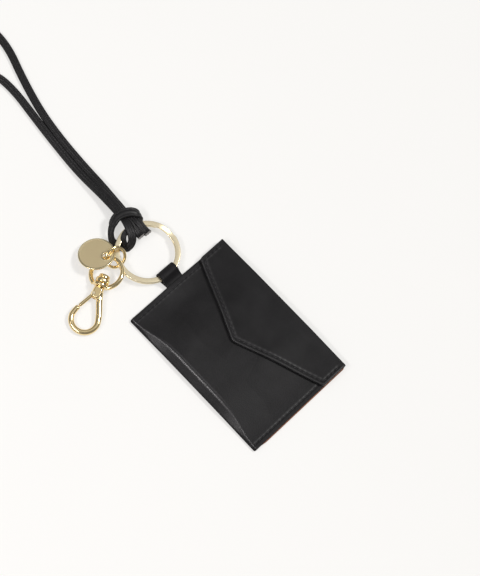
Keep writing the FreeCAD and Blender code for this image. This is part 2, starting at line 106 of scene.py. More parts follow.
def two_sided(outer, inner):
    """Closed sheet between two grids of points of the same size; returns points, faces
    and, for each face, 0 on the outer side, 1 on the inner side and 2 on the cut edge."""
    rows, cols = outer.shape[:2]
    points = np.concatenate([outer.reshape(-1, 3), inner.reshape(-1, 3)])
    top = grid(rows, cols)
    low = [f[::-1] for f in grid(rows, cols, start=rows * cols)]
    rim = [r * cols for r in range(rows)] + [(rows - 1) * cols + c for c in range(1, cols)]
    rim += [r * cols + cols - 1 for r in range(rows - 2, -1, -1)] + list(range(cols - 2, 0, -1))
    off = rows * cols
    edge = [(rim[i], rim[i] + off, rim[(i + 1) % len(rim)] + off, rim[(i + 1) % len(rim)])
            for i in range(len(rim))]
    edge = [f[::-1] for f in edge]
    kinds = [0] * len(top) + [1] * len(low) + [2] * len(edge)
    return points, top + low + edge, kinds


def directions(line, closed=False):
    ahead = np.roll(line, -1, 0) - np.roll(line, 1, 0)
    if not closed:
        ahead[0], ahead[-1] = line[1] - line[0], line[-1] - line[-2]
    return units(ahead)


def sweep(line, section, up=None, closed=False, scale=None, lift=None):
    """Tube along a line. section is a loop of (across, up) points; up is the direction,
    or one for each point, that its second number follows; without it the tube doesn't
    twist. lift moves section points: a function of (row, section)."""
    line = np.asarray(line, float)
    ahead = directions(line, closed)
    n, m = len(line), len(section)
    points = np.zeros((n, m, 3))
    if up is None:
        side = unit(np.cross(ahead[0], (0.31, 0.17, 0.93)))
    else:
        ups = np.broadcast_to(np.asarray(up, float), (n, 3))
    for i in range(n):
        if up is None:
            side = unit(side - ahead[i] * np.dot(side, ahead[i]))
        else:
            side = unit(np.cross(ahead[i], ups[i]))
        top = np.cross(side, ahead[i])
        shape = np.asarray(section, float) * (1.0 if scale is None else scale[i])
        if lift is not None:
            shape = lift(i, shape)
        points[i] = line[i] + shape[:, :1] * side + shape[:, 1:] * top
    faces = grid(n, m, wrap_rows=closed, wrap_cols=True)
    points = points.reshape(-1, 3)
    if not closed:
        points = np.concatenate([points, [line[0], line[-1]]])
        faces += [(n * m, (j + 1) % m, j) for j in range(m)]
        faces += [(n * m + 1, (n - 1) * m + j, (n - 1) * m + (j + 1) % m) for j in range(m)]
    return points, faces


def round_section(radius, sides=16):
    a = np.arange(sides) * 2 * math.pi / sides
    return np.stack([np.cos(a), np.sin(a)], 1) * radius


def soft_box(width, thick, radius, arc=4):
    """Rectangle with rounded corners, centred, as a loop of points."""
    out = []
    for k, (sx, sy) in enumerate(((1, 1), (-1, 1), (-1, -1), (1, -1))):
        for i in range(arc + 1):
            a = math.radians(90 * k + 90 * i / arc)
            out.append((sx * (width / 2 - radius) + radius * math.cos(a),
                        sy * (thick / 2 - radius) + radius * math.sin(a)))
    return np.array(out)


def lathe(profile, place, sides=48):
    """Solid turned round local X from (x, radius) points, closed at both ends."""
    a = np.arange(sides) * 2 * math.pi / sides
    rings = [[(x, r * math.cos(t), r * math.sin(t)) for t in a] for x, r in profile]
    points = np.array(rings).reshape(-1, 3)
    faces = grid(len(profile), sides, wrap_cols=True)
    n = len(points)
    points = np.concatenate([points, [(profile[0][0], 0, 0), (profile[-1][0], 0, 0)]])
    last = (len(profile) - 1) * sides
    faces += [(n, (j + 1) % sides, j) for j in range(sides)]
    faces += [(n + 1, last + j, last + (j + 1) % sides) for j in range(sides)]
    return place(points), faces


def curve_through(points, count):
    """Smooth open line through a few points."""
    p = np.asarray(points, float)
    p = np.concatenate([[2 * p[0] - p[1]], p, [2 * p[-1] - p[-2]]])
    spans = len(p) - 3
    out = []
    for t in np.linspace(0, spans, count):
        i = min(int(t), spans - 1)
        s = t - i
        a, b, c, d = p[i], p[i + 1], p[i + 2], p[i + 3]
        out.append(0.5 * (2 * b + (c - a) * s + (2 * a - 5 * b + 4 * c - d) * s * s
                          + (3 * b - a - 3 * c + d) * s ** 3))
    return np.array(out)


def even(line, step):
    """The same line in even steps."""
    line = np.asarray(line, float)
    along = np.concatenate([[0], np.cumsum(np.linalg.norm(np.diff(line, axis=0), axis=1))])
    count = max(2, int(round(along[-1] / step)) + 1)
    at = np.linspace(0, along[-1], count)
    return np.stack([np.interp(at, along, line[:, k]) for k in range(3)], 1)


def merged(parts):
    points, faces, start = [], [], 0
    for p, f in parts:
        points.append(p)
        faces += [tuple(i + start for i in face) for face in f]
        start += len(p)
    return np.concatenate(points), faces


def placed(name, data):
    """New object in the scene for a mesh, curve, lamp or camera."""
    obj = bpy.data.objects.new(name, data)
    bpy.context.collection.objects.link(obj)
    return obj


def shade_smooth(mesh):
    mesh.polygons.foreach_set("use_smooth", [True] * len(mesh.polygons))


def piece(name, shape, materials, kinds=None, crease=None):
    """New mesh object from millimetre points and faces."""
    points, faces = shape
    mesh = bpy.data.meshes.new(name)
    mesh.from_pydata([tuple(p) for p in np.asarray(points) * MM], [], faces)
    for m in materials if isinstance(materials, (list, tuple)) else [materials]:
        mesh.materials.append(m)
    if kinds is not None:
        mesh.polygons.foreach_set("material_index", kinds)
    mesh.validate()
    work = bmesh.new()
    work.from_mesh(mesh)
    bmesh.ops.recalc_face_normals(work, faces=work.faces)
    work.to_mesh(mesh)
    work.free()
    shade_smooth(mesh)
    if crease is not None:
        mesh.set_sharp_from_angle(angle=math.radians(crease))
    return placed(name, mesh)


def polish(obj, amount):
    """How burnished each point of the piece is, from 0 to 1."""
    obj.data.attributes.new("polish", "FLOAT", "POINT").data.foreach_set(
        "value", np.ascontiguousarray(amount, np.float32).ravel())


def above_table(obj, low=0.03):
    """Worn flat where it would dip below the table."""
    for v in obj.data.vertices:
        v.co.z = max(v.co.z, low * MM)


def finished(obj, body, stands_for=()):
    """The piece rides on its body and stands for its solids."""
    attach(obj, body)
    if stands_for:
        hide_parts(*stands_for)
    return obj


def baked(obj):
    """The object with its modifiers worked into its mesh."""
    bpy.context.view_layer.update()
    deps = bpy.context.evaluated_depsgraph_get()
    mesh = bpy.data.meshes.new_from_object(obj.evaluated_get(deps), depsgraph=deps)
    obj.modifiers.clear()
    old, obj.data = obj.data, mesh
    mesh.name = old.name
    bpy.data.meshes.remove(old)
    return obj


def cast(obj, voxel, rounds):
    """Joins a piece's crossing shells into one skin with softened inner corners."""
    remesh = obj.modifiers.new("one_skin", "REMESH")
    remesh.mode, remesh.voxel_size, remesh.use_smooth_shade = "VOXEL", voxel * MM, True
    relax = obj.modifiers.new("polish", "SMOOTH")
    relax.factor, relax.iterations = 0.5, rounds
    baked(obj)
    shade_smooth(obj.data)
    return obj


# ---- finishes --------------------------------------------------------------------------
class Finish:
    """A material and short calls for its nodes."""

    def __init__(self, name):
        self.material = bpy.data.materials.new(name)
        self.material.use_nodes = True
        self.tree = self.material.node_tree
        self.shader = self.tree.nodes["Principled BSDF"]
        self.place = self.tree.nodes.new("ShaderNodeTexCoord").outputs["Object"]

    def node(self, kind, **values):
        n = self.tree.nodes.new("ShaderNode" + kind)
        for key, value in values.items():
            if key in n.inputs:
                n.inputs[key].default_value = value
            else:
                setattr(n, key, value)
        return n

    def link(self, a, b):
        self.tree.links.new(a, b)

    def noise(self, scale, detail=2.0, roughness=0.5, stretch=None):
        n = self.node("TexNoise", Scale=scale, Detail=detail, Roughness=roughness)
        place = self.place
        if stretch is not None:
            m = self.node("Mapping", Scale=stretch)
            self.link(place, m.inputs["Vector"])
            place = m.outputs["Vector"]
        self.link(place, n.inputs["Vector"])
        return n.outputs["Fac"]

    def cells(self, scale):
        n = self.node("TexVoronoi", Scale=scale)
        self.link(self.place, n.inputs["Vector"])
        return n.outputs["Distance"]

    def maths(self, operation, a, b):
        n = self.node("Math", operation=operation)
        for value, socket in ((a, n.inputs[0]), (b, n.inputs[1])):
            if isinstance(value, (int, float)):
                socket.default_value = value
            else:
                self.link(value, socket)
        return n.outputs[0]

    def ranged(self, value, low, high):
        """The middle span of a noise, 0.3 to 0.7, as low to high."""
        n = self.node("MapRange")
        for socket, v in zip(("From Min", "From Max", "To Min", "To Max"), (0.3, 0.7, low, high)):
            n.inputs[socket].default_value = v
        self.link(value, n.inputs["Value"])
        return n.outputs["Result"]

    def blend(self, value, stops):
        n = self.node("ValToRGB")
        ramp = n.color_ramp
        while len(ramp.elements) < len(stops):
            ramp.elements.new(0.5)
        for element, (at, colour) in zip(ramp.elements, stops):
            element.position, element.color = at, (*colour, 1.0)
        self.link(value, n.inputs["Fac"])
        return n.outputs["Color"]

    def bump(self, value, depth):
        n = self.node("Bump", Strength=1.0, Distance=depth * MM)
        self.link(value, n.inputs["Height"])
        return n.outputs["Normal"]

    def set(self, **sockets):
        names = {"Base": "Base Color", "Gloss": "Specular IOR Level", "Sheen": "Sheen Weight",
                 "Sheen_Roughness": "Sheen Roughness"}
        for key, value in sockets.items():
            socket = self.shader.inputs[names.get(key, key)]
            if isinstance(value, bpy.types.NodeSocket):
                self.link(value, socket)
            else:
                socket.default_value = value
        return self.material


BURNISH_ROUGH, BURNISH_GLOSS = 0.26, 1.1    # how much smoother and glossier a rubbed ridge is


def black_leather(name, tone, gloss, grain, depth, rough):
    """Fine-grained black hide: pebbled cells with pores and a cloudy tone, matt on its
    faces and burnished where the "polish" attribute marks a ridge."""
    f = Finish(name)
    worn = f.node("Attribute", attribute_name="polish").outputs["Fac"]
    cloudy = f.noise(90.0, 4.0)
    fleck = f.noise(grain * 1.7, 3.0, 0.6)
    mixed = f.maths("ADD", f.maths("MULTIPLY", cloudy, 0.45), f.maths("MULTIPLY", fleck, 0.55))
    dark = [c * tone * 0.72 for c in (1, 0.97, 1.04)]
    light = [c * tone * 1.35 for c in (1, 0.97, 1.03)]
    colour = f.blend(mixed, [(0.36, dark), (0.64, light)])
    pebbles = f.cells(grain)
    pores = f.noise(grain * 2.3, 3.0, 0.65)
    creases = f.noise(grain * 0.22, 5.0, 0.6)
    height = f.maths("ADD", f.maths("MULTIPLY", pebbles, -0.75), f.maths("MULTIPLY", pores, 0.65))
    height = f.maths("ADD", height, f.maths("MULTIPLY", creases, 0.5))
    matt = f.ranged(fleck, *rough)
    burnish = f.maths("MULTIPLY", worn, f.ranged(pores, 0.55, 1.0))
    shine = f.maths("SUBTRACT", matt, f.maths("MULTIPLY", burnish, BURNISH_ROUGH))
    glossy = f.maths("ADD", f.maths("MULTIPLY", burnish, BURNISH_GLOSS), gloss)
    return f.set(Base=colour, Roughness=shine, Gloss=glossy, Normal=f.bump(height, depth))


def edge_paint(name):
    """Black sealed edge of cut leather, a little uneven."""
    f = Finish(name)
    wave = f.noise(500.0, 3.0)
    colour = f.blend(f.noise(260.0, 3.0), [(0.3, (0.010, 0.010, 0.011)), (0.7, (0.024, 0.023, 0.024))])
    return f.set(Base=colour, Roughness=f.ranged(wave, 0.24, 0.4), Gloss=0.55, Normal=f.bump(wave, 0.05))


def bare_edge(name):
    """Russet line where the back layer's cut edge isn't painted."""
    f = Finish(name)
    fibres = f.noise(1500.0, 4.0, 0.6, stretch=(1.0, 0.25, 1.6))
    return f.set(Base=f.blend(fibres, [(0.3, (0.14, 0.036, 0.010)), (0.7, (0.34, 0.115, 0.040))]),
                 Roughness=f.ranged(fibres, 0.5, 0.7), Normal=f.bump(fibres, 0.04))


def suede_lining(name, colours):
    """Napped cut or lined side of leather, between a dark and a light tone."""
    f = Finish(name)
    nap = f.noise(2200.0, 4.0, 0.7)
    shade = f.noise(160.0, 3.0)
    both = f.maths("ADD", f.maths("MULTIPLY", nap, 0.5), f.maths("MULTIPLY", shade, 0.5))
    return f.set(Base=f.blend(both, [(0.35, colours[0]), (0.65, colours[1])]), Roughness=0.92,
                 Sheen=0.35, Sheen_Roughness=0.5, Gloss=0.2, Normal=f.bump(nap, 0.05))


def thread(name):
    """Waxed black thread with its twist."""
    f = Finish(name)
    ply = f.noise(3800.0, 2.0, 0.5)
    return f.set(Base=f.blend(ply, [(0.35, (0.006, 0.006, 0.007)), (0.65, (0.022, 0.021, 0.023))]),
                 Roughness=f.ranged(ply, 0.42, 0.62), Gloss=0.45, Normal=f.bump(ply, 0.05))


def gold(name, pale, deep, rough, scratch=0.01):
    """Plated metal: a slight cloud in its colour, fine scratches and a cast grain."""
    f = Finish(name)
    cloud = f.noise(140.0, 3.0)
    grain = f.noise(2600.0, 4.0, 0.6)
    lines = f.noise(700.0, 5.0, 0.75, stretch=(1.0, 0.12, 1.0))
    height = f.maths("ADD", grain, f.maths("MULTIPLY", lines, 0.5))
    return f.set(Base=f.blend(cloud, [(0.3, deep), (0.7, pale)]), Metallic=1.0,
                 Roughness=f.ranged(grain, *rough), Normal=f.bump(height, scratch))


HIDE_FINISH = black_leather("fine_grain_black_hide", 0.0118, 0.15, 1400.0, 0.07, (0.50, 0.60))
SMOOTH_HIDE = black_leather("smooth_black_flap_hide", 0.0115, 0.13, 1600.0, 0.03, (0.52, 0.60))
STRAP_FINISH = black_leather("black_strap_leather", 0.0095, 0.3, 1700.0, 0.03, (0.38, 0.48))
RAW_END = suede_lining("raw_cut_leather", ((0.17, 0.160, 0.155), (0.30, 0.285, 0.275)))
PAINTED_EDGE = edge_paint("black_edge_paint")
RUSSET_EDGE = bare_edge("russet_cut_edge")
LINING_FINISH = suede_lining("tan_suede_lining", ((0.19, 0.085, 0.035), (0.30, 0.15, 0.07)))
FLAP_LINING_FINISH = suede_lining("black_suede_lining", ((0.012, 0.011, 0.012), (0.03, 0.028, 0.03)))
THREAD_FINISH = thread("waxed_black_thread")
RING_GOLD = gold("pale_gold_ring_plate", (0.91, 0.80, 0.56), (0.89, 0.77, 0.53), (0.27, 0.29), 0.0002)
CLASP_GOLD = gold("polished_gold_clasp", (0.92, 0.75, 0.43), (0.88, 0.68, 0.36), (0.10, 0.17), 0.001)
TAG_GOLD = gold("satin_gold_tag_face", (0.95, 0.80, 0.49), (0.93, 0.77, 0.47), (0.44, 0.50), 0.002)
TAG_RIM = gold("polished_gold_tag_rim", (0.90, 0.78, 0.50), (0.86, 0.72, 0.44), (0.14, 0.20), 0.001)
STEEL = gold("plain_steel", (0.62, 0.61, 0.59), (0.52, 0.51, 0.50), (0.3, 0.42))


# ---- the camera ------------------------------------------------------------------------
EYE_AT, EYE_RIGHT, EYE_BACK = (0.0969, -0.2476, 0.8384), (0.691, 0.711, 0.132), (0.136, -0.307, 0.942)


def set_camera():
    """Long lens from high up on the clasp's side, turned so that the pouch lies askew."""
    lens = bpy.data.cameras.new("camera")
    lens.lens, lens.sensor_width, lens.sensor_fit = 93.75, 36.0, "AUTO"
    lens.clip_start, lens.clip_end = 0.01, 20.0
    right = unit(EYE_RIGHT)
    back = unit(np.asarray(EYE_BACK) - right * np.dot(right, EYE_BACK))
    up = np.cross(back, right)
    camera = placed("camera", lens)
    camera.matrix_world = Matrix([(right[k], up[k], back[k], EYE_AT[k]) for k in range(3)] + [(0, 0, 0, 1)])
    bpy.context.scene.camera = camera


set_camera()


# ---- the neck strap ---------------------------------------------------------------------
# Its route as control points: one leg to the put-away coil, the coil's turns and the
# other leg back to the knot.
LEG_A = [(-103.6, 5.0, 7.5), (-105.8, 5.2, 7.3), (-121.0, 6.9, 4.4), (-140.0, 7.9, 1.9),
         (-163.0, 9.5, 1.3), (-185.0, 12.5, 1.3), (-209.0, 19.0, 1.3), (-232.0, 27.0, 1.3),
         (-252.0, 26.5, 1.3), (-270.0, 17.0, 1.3)]
LEG_B = [(-230.5, 0.5, 1.6), (-221.0, 8.8, 1.3), (-205.0, 9.8, 1.3), (-185.0, 7.3, 1.3),
         (-163.0, 4.9, 1.3), (-140.0, 3.0, 1.8), (-121.0, 3.1, 4.2), (-106.2, 1.9, 7.2),
         (-103.6, 1.6, 7.5)]
COIL_C, COIL_R = (-262.0, -16.0), 28.4
COIL_START, COIL_TURNS, COIL_STEP = 128.0, 3.42, 24.0    # degrees, turns, degrees
COIL_LOW, COIL_RISE = 1.3, 2.5                           # first turn's height, rise a turn


def coil_turns():
    """Control points of the loosely stacked turns, from the first leg to the second."""
    out = []
    a = COIL_START
    while a <= COIL_START + 360.0 * COIL_TURNS:
        turn = (a - COIL_START) / 360.0
        loose = 0.7 * math.sin(turn * 5.1 + 0.6) + 0.35 * math.sin(math.radians(a) * 2 + 1.1)
        r = COIL_R + loose + (2.6 * (1 - turn / 0.12) if turn < 0.12 else 0.0)
        lift = smooth(turn / 0.9 - 0.06) * min(turn / 0.9, 1.0) if turn < 0.9 else turn
        t = math.radians(a)
        out.append((COIL_C[0] + r * math.cos(t), COIL_C[1] + r * math.sin(t), COIL_LOW + COIL_RISE * lift))
        a += COIL_STEP
    return out


def strap_line():
    """The strap's centre line, read from its smooth spline."""
    down = [(-240.6, -37.0, 8.4), (-233.8, -29.0, 5.6), (-229.6, -17.5, 2.6)]
    route = LEG_A + coil_turns() + down + LEG_B
    curve = bpy.data.curves.new("strap_route", "CURVE")
    curve.dimensions, curve.resolution_u = "3D", 10
    spline = curve.splines.new("NURBS")
    spline.points.add(len(route) - 1)
    for point, p in zip(spline.points, route):
        point.co = (*(c * MM for c in p), 1.0)
    spline.order_u, spline.use_endpoint_u = 3, True
    holder = placed("strap_route", curve)
    bpy.context.view_layer.update()
    deps = bpy.context.evaluated_depsgraph_get()
    mesh = bpy.data.meshes.new_from_object(holder.evaluated_get(deps), depsgraph=deps)
    line = np.array([v.co for v in mesh.vertices], float) / MM
    bpy.data.meshes.remove(mesh)
    bpy.data.objects.remove(holder)
    bpy.data.curves.remove(curve)
    return even(line, 1.1)


def strap_section(width=STRAP_W, thick=STRAP_T):
    """Folded strap: rounded edges, a raised middle and a pressed line along each side."""
    half, w = thick / 2, width / 2
    top = [(w, 0.0), (w - 0.08, 0.42 * half), (w - 0.35, 0.78 * half), (w - 0.8, 0.97 * half),
           (w - 1.25, 0.90 * half), (w - 1.55, 0.66 * half), (w - 1.8, 0.72 * half),
           (w - 2.1, 0.96 * half), (0.0, half)]
    top += [(-x, z) for x, z in reversed(top[:-1])]
    return np.array(top + [(x, -z) for x, z in reversed(top[1:-1])])


def strap_lean(line):
    """Upward direction of the strap: the two legs lean outwards as the knot pulls them in."""
    near = smooth((line[:, 0] + 136.0) / 24.0)
    way = np.where(np.arange(len(line)) < len(line) / 2, 1.0, -1.0)
    tilt = near * math.radians(34.0) * way
    return np.stack([0 * tilt, np.sin(tilt), np.cos(tilt)], 1)


def strap_sides(line, up):
    """Sideways and upward directions along a strap's line."""
    ahead = directions(line)
    side = units(np.cross(ahead, up))
    return side, np.cross(side, ahead)


strap_path = strap_line()
strap_up = strap_lean(strap_path)
strap = piece("neck_strap", sweep(strap_path, strap_section(), up=strap_up), STRAP_FINISH)
finished(strap, "ring", ("strap_leg_a", "strap_leg_b", "strap_coil"))


# ---- stitching by nodes -------------------------------------------------------------------
def stitch_tree():
    """Node tree that lays thread stitches along a line of vertices, flat on its normals."""
    tree = bpy.data.node_groups.new("thread_stitches", "GeometryNodeTree")
    tree.interface.new_socket("Line", in_out="INPUT", socket_type="NodeSocketGeometry")
    for name in ("Pitch", "Stitch length", "Thread width", "Slant"):
        tree.interface.new_socket(name, in_out="INPUT", socket_type="NodeSocketFloat")
    tree.interface.new_socket("Thread", in_out="INPUT", socket_type="NodeSocketMaterial")
    tree.interface.new_socket("Stitches", in_out="OUTPUT", socket_type="NodeSocketGeometry")
    new = tree.nodes.new
    given, out = new("NodeGroupInput"), new("NodeGroupOutput")
    curve, resample = new("GeometryNodeMeshToCurve"), new("GeometryNodeResampleCurve")
    resample.mode = "LENGTH"
    ball, size = new("GeometryNodeMeshUVSphere"), new("ShaderNodeCombineXYZ")
    ball.inputs["Segments"].default_value, ball.inputs["Rings"].default_value = 8, 6
    ball.inputs["Radius"].default_value = 0.5
    tangent, upward = new("GeometryNodeInputTangent"), new("GeometryNodeInputNamedAttribute")
    upward.data_type = "FLOAT_VECTOR"
    upward.inputs["Name"].default_value = "upward"
    along, stand = new("FunctionNodeAlignRotationToVector"), new("FunctionNodeAlignRotationToVector")
    along.axis, stand.axis, stand.pivot_axis = "X", "Z", "X"
    turn, slant = new("FunctionNodeRotateRotation"), new("FunctionNodeEulerToRotation")
    turn.rotation_space = "LOCAL"
    angle, place = new("ShaderNodeCombineXYZ"), new("GeometryNodeInstanceOnPoints")
    real, finish = new("GeometryNodeRealizeInstances"), new("GeometryNodeSetMaterial")
    for a, source, b, socket in (
            (given, "Line", curve, "Mesh"), (curve, "Curve", resample, "Curve"),
            (given, "Pitch", resample, "Length"), (given, "Stitch length", size, "X"),
            (given, "Thread width", size, "Y"), (given, "Thread width", size, "Z"),
            (tangent, "Tangent", along, "Vector"), (along, "Rotation", stand, "Rotation"),
            (upward, "Attribute", stand, "Vector"), (given, "Slant", angle, "Z"),
            (angle, "Vector", slant, "Euler"), (stand, "Rotation", turn, "Rotation"),
            (slant, "Rotation", turn, "Rotate By"), (resample, "Curve", place, "Points"),
            (ball, "Mesh", place, "Instance"), (turn, "Rotation", place, "Rotation"),
            (size, "Vector", place, "Scale"), (place, "Instances", real, "Geometry"),
            (real, "Geometry", finish, "Geometry"), (given, "Thread", finish, "Material"),
            (finish, "Geometry", out, "Stitches")):
        tree.links.new(a.outputs[source], b.inputs[socket])
    return tree


STITCHES = stitch_tree()


def stitched(name, lines, pitch, length, width, slant=0.12):
    """Thread along lines of (points, normals), as one mesh."""
    points, edges, normals = [], [], []
    for line, normal in lines:
        start = len(points)
        points += [tuple(p * MM) for p in line]
        normals += [tuple(n) for n in np.broadcast_to(normal, line.shape)]
        edges += [(start + i, start + i + 1) for i in range(len(line) - 1)]
    mesh = bpy.data.meshes.new(name)
    mesh.from_pydata(points, edges, [])
    mesh.attributes.new("upward", "FLOAT_VECTOR", "POINT").data.foreach_set(
        "vector", np.array(normals, np.float32).ravel())
    obj = placed(name, mesh)
    nodes = obj.modifiers.new("stitches", "NODES")
    nodes.node_group = STITCHES
    values = {"Pitch": pitch * MM, "Stitch length": length * MM, "Thread width": width * MM,
              "Slant": slant, "Thread": THREAD_FINISH}
    for item in STITCHES.interface.items_tree:
        if item.in_out == "INPUT" and item.name in values:
            nodes[item.identifier] = values[item.name]
    baked(obj)
    if not obj.data.materials:
        obj.data.materials.append(THREAD_FINISH)
    shade_smooth(obj.data)
    return obj


# ---- the pouch -------------------------------------------------------------------------
STITCH_IN, PITCH = 2.8, 3.3
# steps of the hide's outer line by run and arc, and its rows on the front, roll and back
RUN_STEPS = (112, 8, 9, 6, 3, 5, 60, 10, 4)
FRONT, UNDER_RIDGE, BACK = slice(0, 113), slice(113, 146), slice(146, 206)


def front_top(x, y):
    """Height of the front panel's outer face over the card pocket."""
    at_tab = 1.3 * np.exp(-((y - RING_C[1]) / 11.0) ** 2) * smooth((-x - 38.0) / 12.0)
    side = smooth((LENGTH / 2 - np.abs(x) - 3.5) / 34.0)
    full = CROWN * (1.0 - 0.05 * (y + 20.0) / 50.0) - 1.9 * smooth((y - 8.0) / 21.0)
    return EDGE + at_tab * (1.0 - side) + side * (full - EDGE)


def drawn_in(x):
    """How far a rounded lower corner draws the bottom edge in."""
    over = np.maximum(0.0, np.abs(x) - (LENGTH / 2 - CORNER_R)) * 0.985
    return CORNER_R - np.sqrt(CORNER_R ** 2 - over ** 2)


def rounded_line(points, radii, counts):
    """Polyline in Y and Z with its corners rounded; counts gives each run's and arc's steps."""
    p = [np.asarray(q, float) for q in points]
    out, last = [], p[0]
    for i in range(1, len(p) - 1):
        a, b = unit(p[i - 1] - p[i]), unit(p[i + 1] - p[i])
        half = math.acos(max(-1.0, min(1.0, float(np.dot(a, b))))) / 2
        reach = min(radii[i - 1] / math.tan(half), 0.48 * min(np.linalg.norm(p[i - 1] - p[i]),
                                                             np.linalg.norm(p[i + 1] - p[i])))
        start, end = p[i] + a * reach, p[i] + b * reach
        for k in range(counts[2 * i - 2]):
            out.append(last + (start - last) * k / counts[2 * i - 2])
        for k in range(counts[2 * i - 1]):
            t = k / counts[2 * i - 1]
            out.append(start * (1 - t) ** 2 + 2 * p[i] * t * (1 - t) + end * t * t)
        last = end
    for k in range(counts[-1] + 1):
        out.append(last + (p[-1] - last) * k / counts[-1])
    return np.array(out)


def pouch_section(x):
    """Outer line of the folded hide at x: mouth, front, bottom roll, back, fold, spine."""
    side = float(smooth((LENGTH / 2 - abs(x) - 1.0) / 26.0))
    y0 = -DEPTH / 2 + float(drawn_in(x))
    ridge_y = y0 + 1.7 + 3.7 * side
    ridge_z = float(front_top(x, ridge_y)) * (1.0 - 0.07 * side) - 0.15
    ridge_z = min(ridge_z, EDGE + 4.2 * side)
    points = [(MOUTH_Y, 0.0), (ridge_y, ridge_z), (y0 + 0.05, 0.36 * ridge_z + 0.2), (y0 + 0.9, 0.0),
              (FOLD_Y + SPINE_R, 0.0), (FOLD_Y + SPINE_R, (FOLD_LOW + FOLD_HIGH) / 2)]
    radii = (1.3 + 1.9 * side, 1.6, 0.9, 1.6)
    line = rounded_line(points, radii, RUN_STEPS)
    # the front panel follows its dome from the mouth to the ridge
    y = line[FRONT, 0]
    run = np.clip((MOUTH_Y - y) / (MOUTH_Y - ridge_y), 0, 1)
    want = front_top(np.full_like(y, x), y)
    shoulder = smooth((run - 0.70) / 0.30)
    top = want * (1 - shoulder) + ridge_z * shoulder
    dip = side * (0.10 * np.sin(x * 0.085 + y * 0.11) + 0.07 * np.sin(x * 0.19 - y * 0.07 + 1.0))
    line[FRONT, 1] = top + dip * (1 - shoulder)
    return line


def columns(close, middle_half, count):
    """X stations: close together by the sewn side edges, even over the middle."""
    near = [LENGTH / 2 - d for d in close]
    return np.array([-n for n in near] + list(np.linspace(-middle_half, middle_half, count)) + near[::-1])


def side_columns():
    half = [0.0, 0.12, 0.3, 0.55, 0.9, 1.3, 1.7, 2.05, 2.3, 2.55, 2.8, 3.05, 3.3, 3.6, 4.0, 4.5, 5.1]
    return columns(half, LENGTH / 2 - 5.9, 96)


def pouch_hide():
    """The pouch's hide in one sheet: front, bottom roll, back and the fold's inner half."""
    xs = side_columns()
    lines = [pouch_section(x) for x in xs]
    outer = np.array([[(x, p[0], p[1]) for p in line] for x, line in zip(xs, lines)])
    # stitch channel and the swell between stitches, front and back
    swells = np.zeros(outer.shape[:2])
    for c, x in enumerate(xs):
        d = LENGTH / 2 - abs(x)
        channel = np.exp(-((d - STITCH_IN) / 0.42) ** 2)
        swell = np.exp(-((d - STITCH_IN - 0.85) / 0.55) ** 2)
        y = outer[c, :, 1]
        hole = 0.5 + 0.5 * np.cos(2 * math.pi * (y - DEPTH / 2) / PITCH)
        press = -channel * (0.26 + 0.12 * hole) + swell * (0.05 - 0.10 * hole)
        rim = -0.42 * (1 - np.sqrt(1 - np.clip(1 - d / 0.55, 0, 1) ** 2))
        swells[c] = swell * (1 - 0.6 * hole)
        outer[c, FRONT, 2] += press[FRONT] + rim
        outer[c, BACK, 2] = np.maximum(outer[c, BACK, 2] - press[BACK] * 0.6 - rim * 0.6, 0.0)
    # the back layer stands a little proud at the far edge, where its raw side shows
    row = np.arange(outer.shape[1])
    outer[-1, :, 0] += 0.5 * np.clip(np.minimum(row - BACK.start, BACK.stop - row) / 3.0, 0, 1)
    ahead = np.gradient(outer, axis=1)
    normal = np.stack([np.zeros(ahead.shape[:2]), ahead[..., 2], -ahead[..., 1]], 2)
    normal /= np.maximum(np.linalg.norm(normal, axis=2), 1e-9)[..., None]
    sewn = smooth((LENGTH / 2 - np.abs(xs) - 3.9) / 1.2)[:, None]
    thick = 1.48 * (1 - sewn) + HIDE * sewn
    inner = outer - normal * thick[..., None]
    # the pocket's floor and roof stay apart by the sewn layers' thickness
    middle = EDGE / 2
    floor_level = np.where(sewn > 0.5, HIDE, middle - 0.01)
    half_way = 125                          # the row where the roll turns under
    roof_level = np.where(sewn > 0.5, HIDE + 0.35, middle + 0.01)
    inner[:, :half_way, 2] = np.maximum(inner[:, :half_way, 2], roof_level)
    inner[:, BACK, 2] = floor_level
    roll = inner[:, UNDER_RIDGE, 1]
    inner[:, UNDER_RIDGE, 1] = np.maximum(roll, outer[:, UNDER_RIDGE, 1].min(1)[:, None] + thick)
    low = slice(half_way, BACK.start)
    inner[:, low, 2] = np.maximum(inner[:, low, 2], floor_level)
    points, faces, kinds = two_sided(outer, inner)
    # cut edges: painted, but russet on the back layer's half of the side edges
    for i, kind in enumerate(kinds):
        mid = points[list(faces[i])].mean(0)
        if kind and mid[2] < EDGE / 2 + 0.1 and mid[0] > LENGTH / 2 + 0.05:
            kinds[i] = 3
    sides = [HIDE_FINISH, FLAP_LINING_FINISH, PAINTED_EDGE, RUSSET_EDGE]
    obj = piece("pouch_hide", (points, faces), sides, kinds, crease=48)
    # the ridge above the bottom roll is rubbed bright, most of all towards its middle
    tilt = np.clip(normal[..., 2], 0, 1) * (normal[..., 1] < 0.0)
    slope = np.degrees(np.arccos(tilt))
    rubbed = np.exp(-((slope - 24.0) / 13.0) ** 2) * (outer[..., 2] > 2.4)
    rubbed *= 0.7 + 0.3 * smooth((30.0 - np.abs(outer[..., 0] + 6.0)) / 26.0)
    rubbed += 0.35 * swells * (outer[..., 2] > 1.6)
    polish(obj, np.concatenate([np.clip(rubbed, 0, 1).ravel(), np.zeros(rubbed.size)]))
    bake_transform(obj)
    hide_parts("outer_leather")
    return obj


pouch_hide()


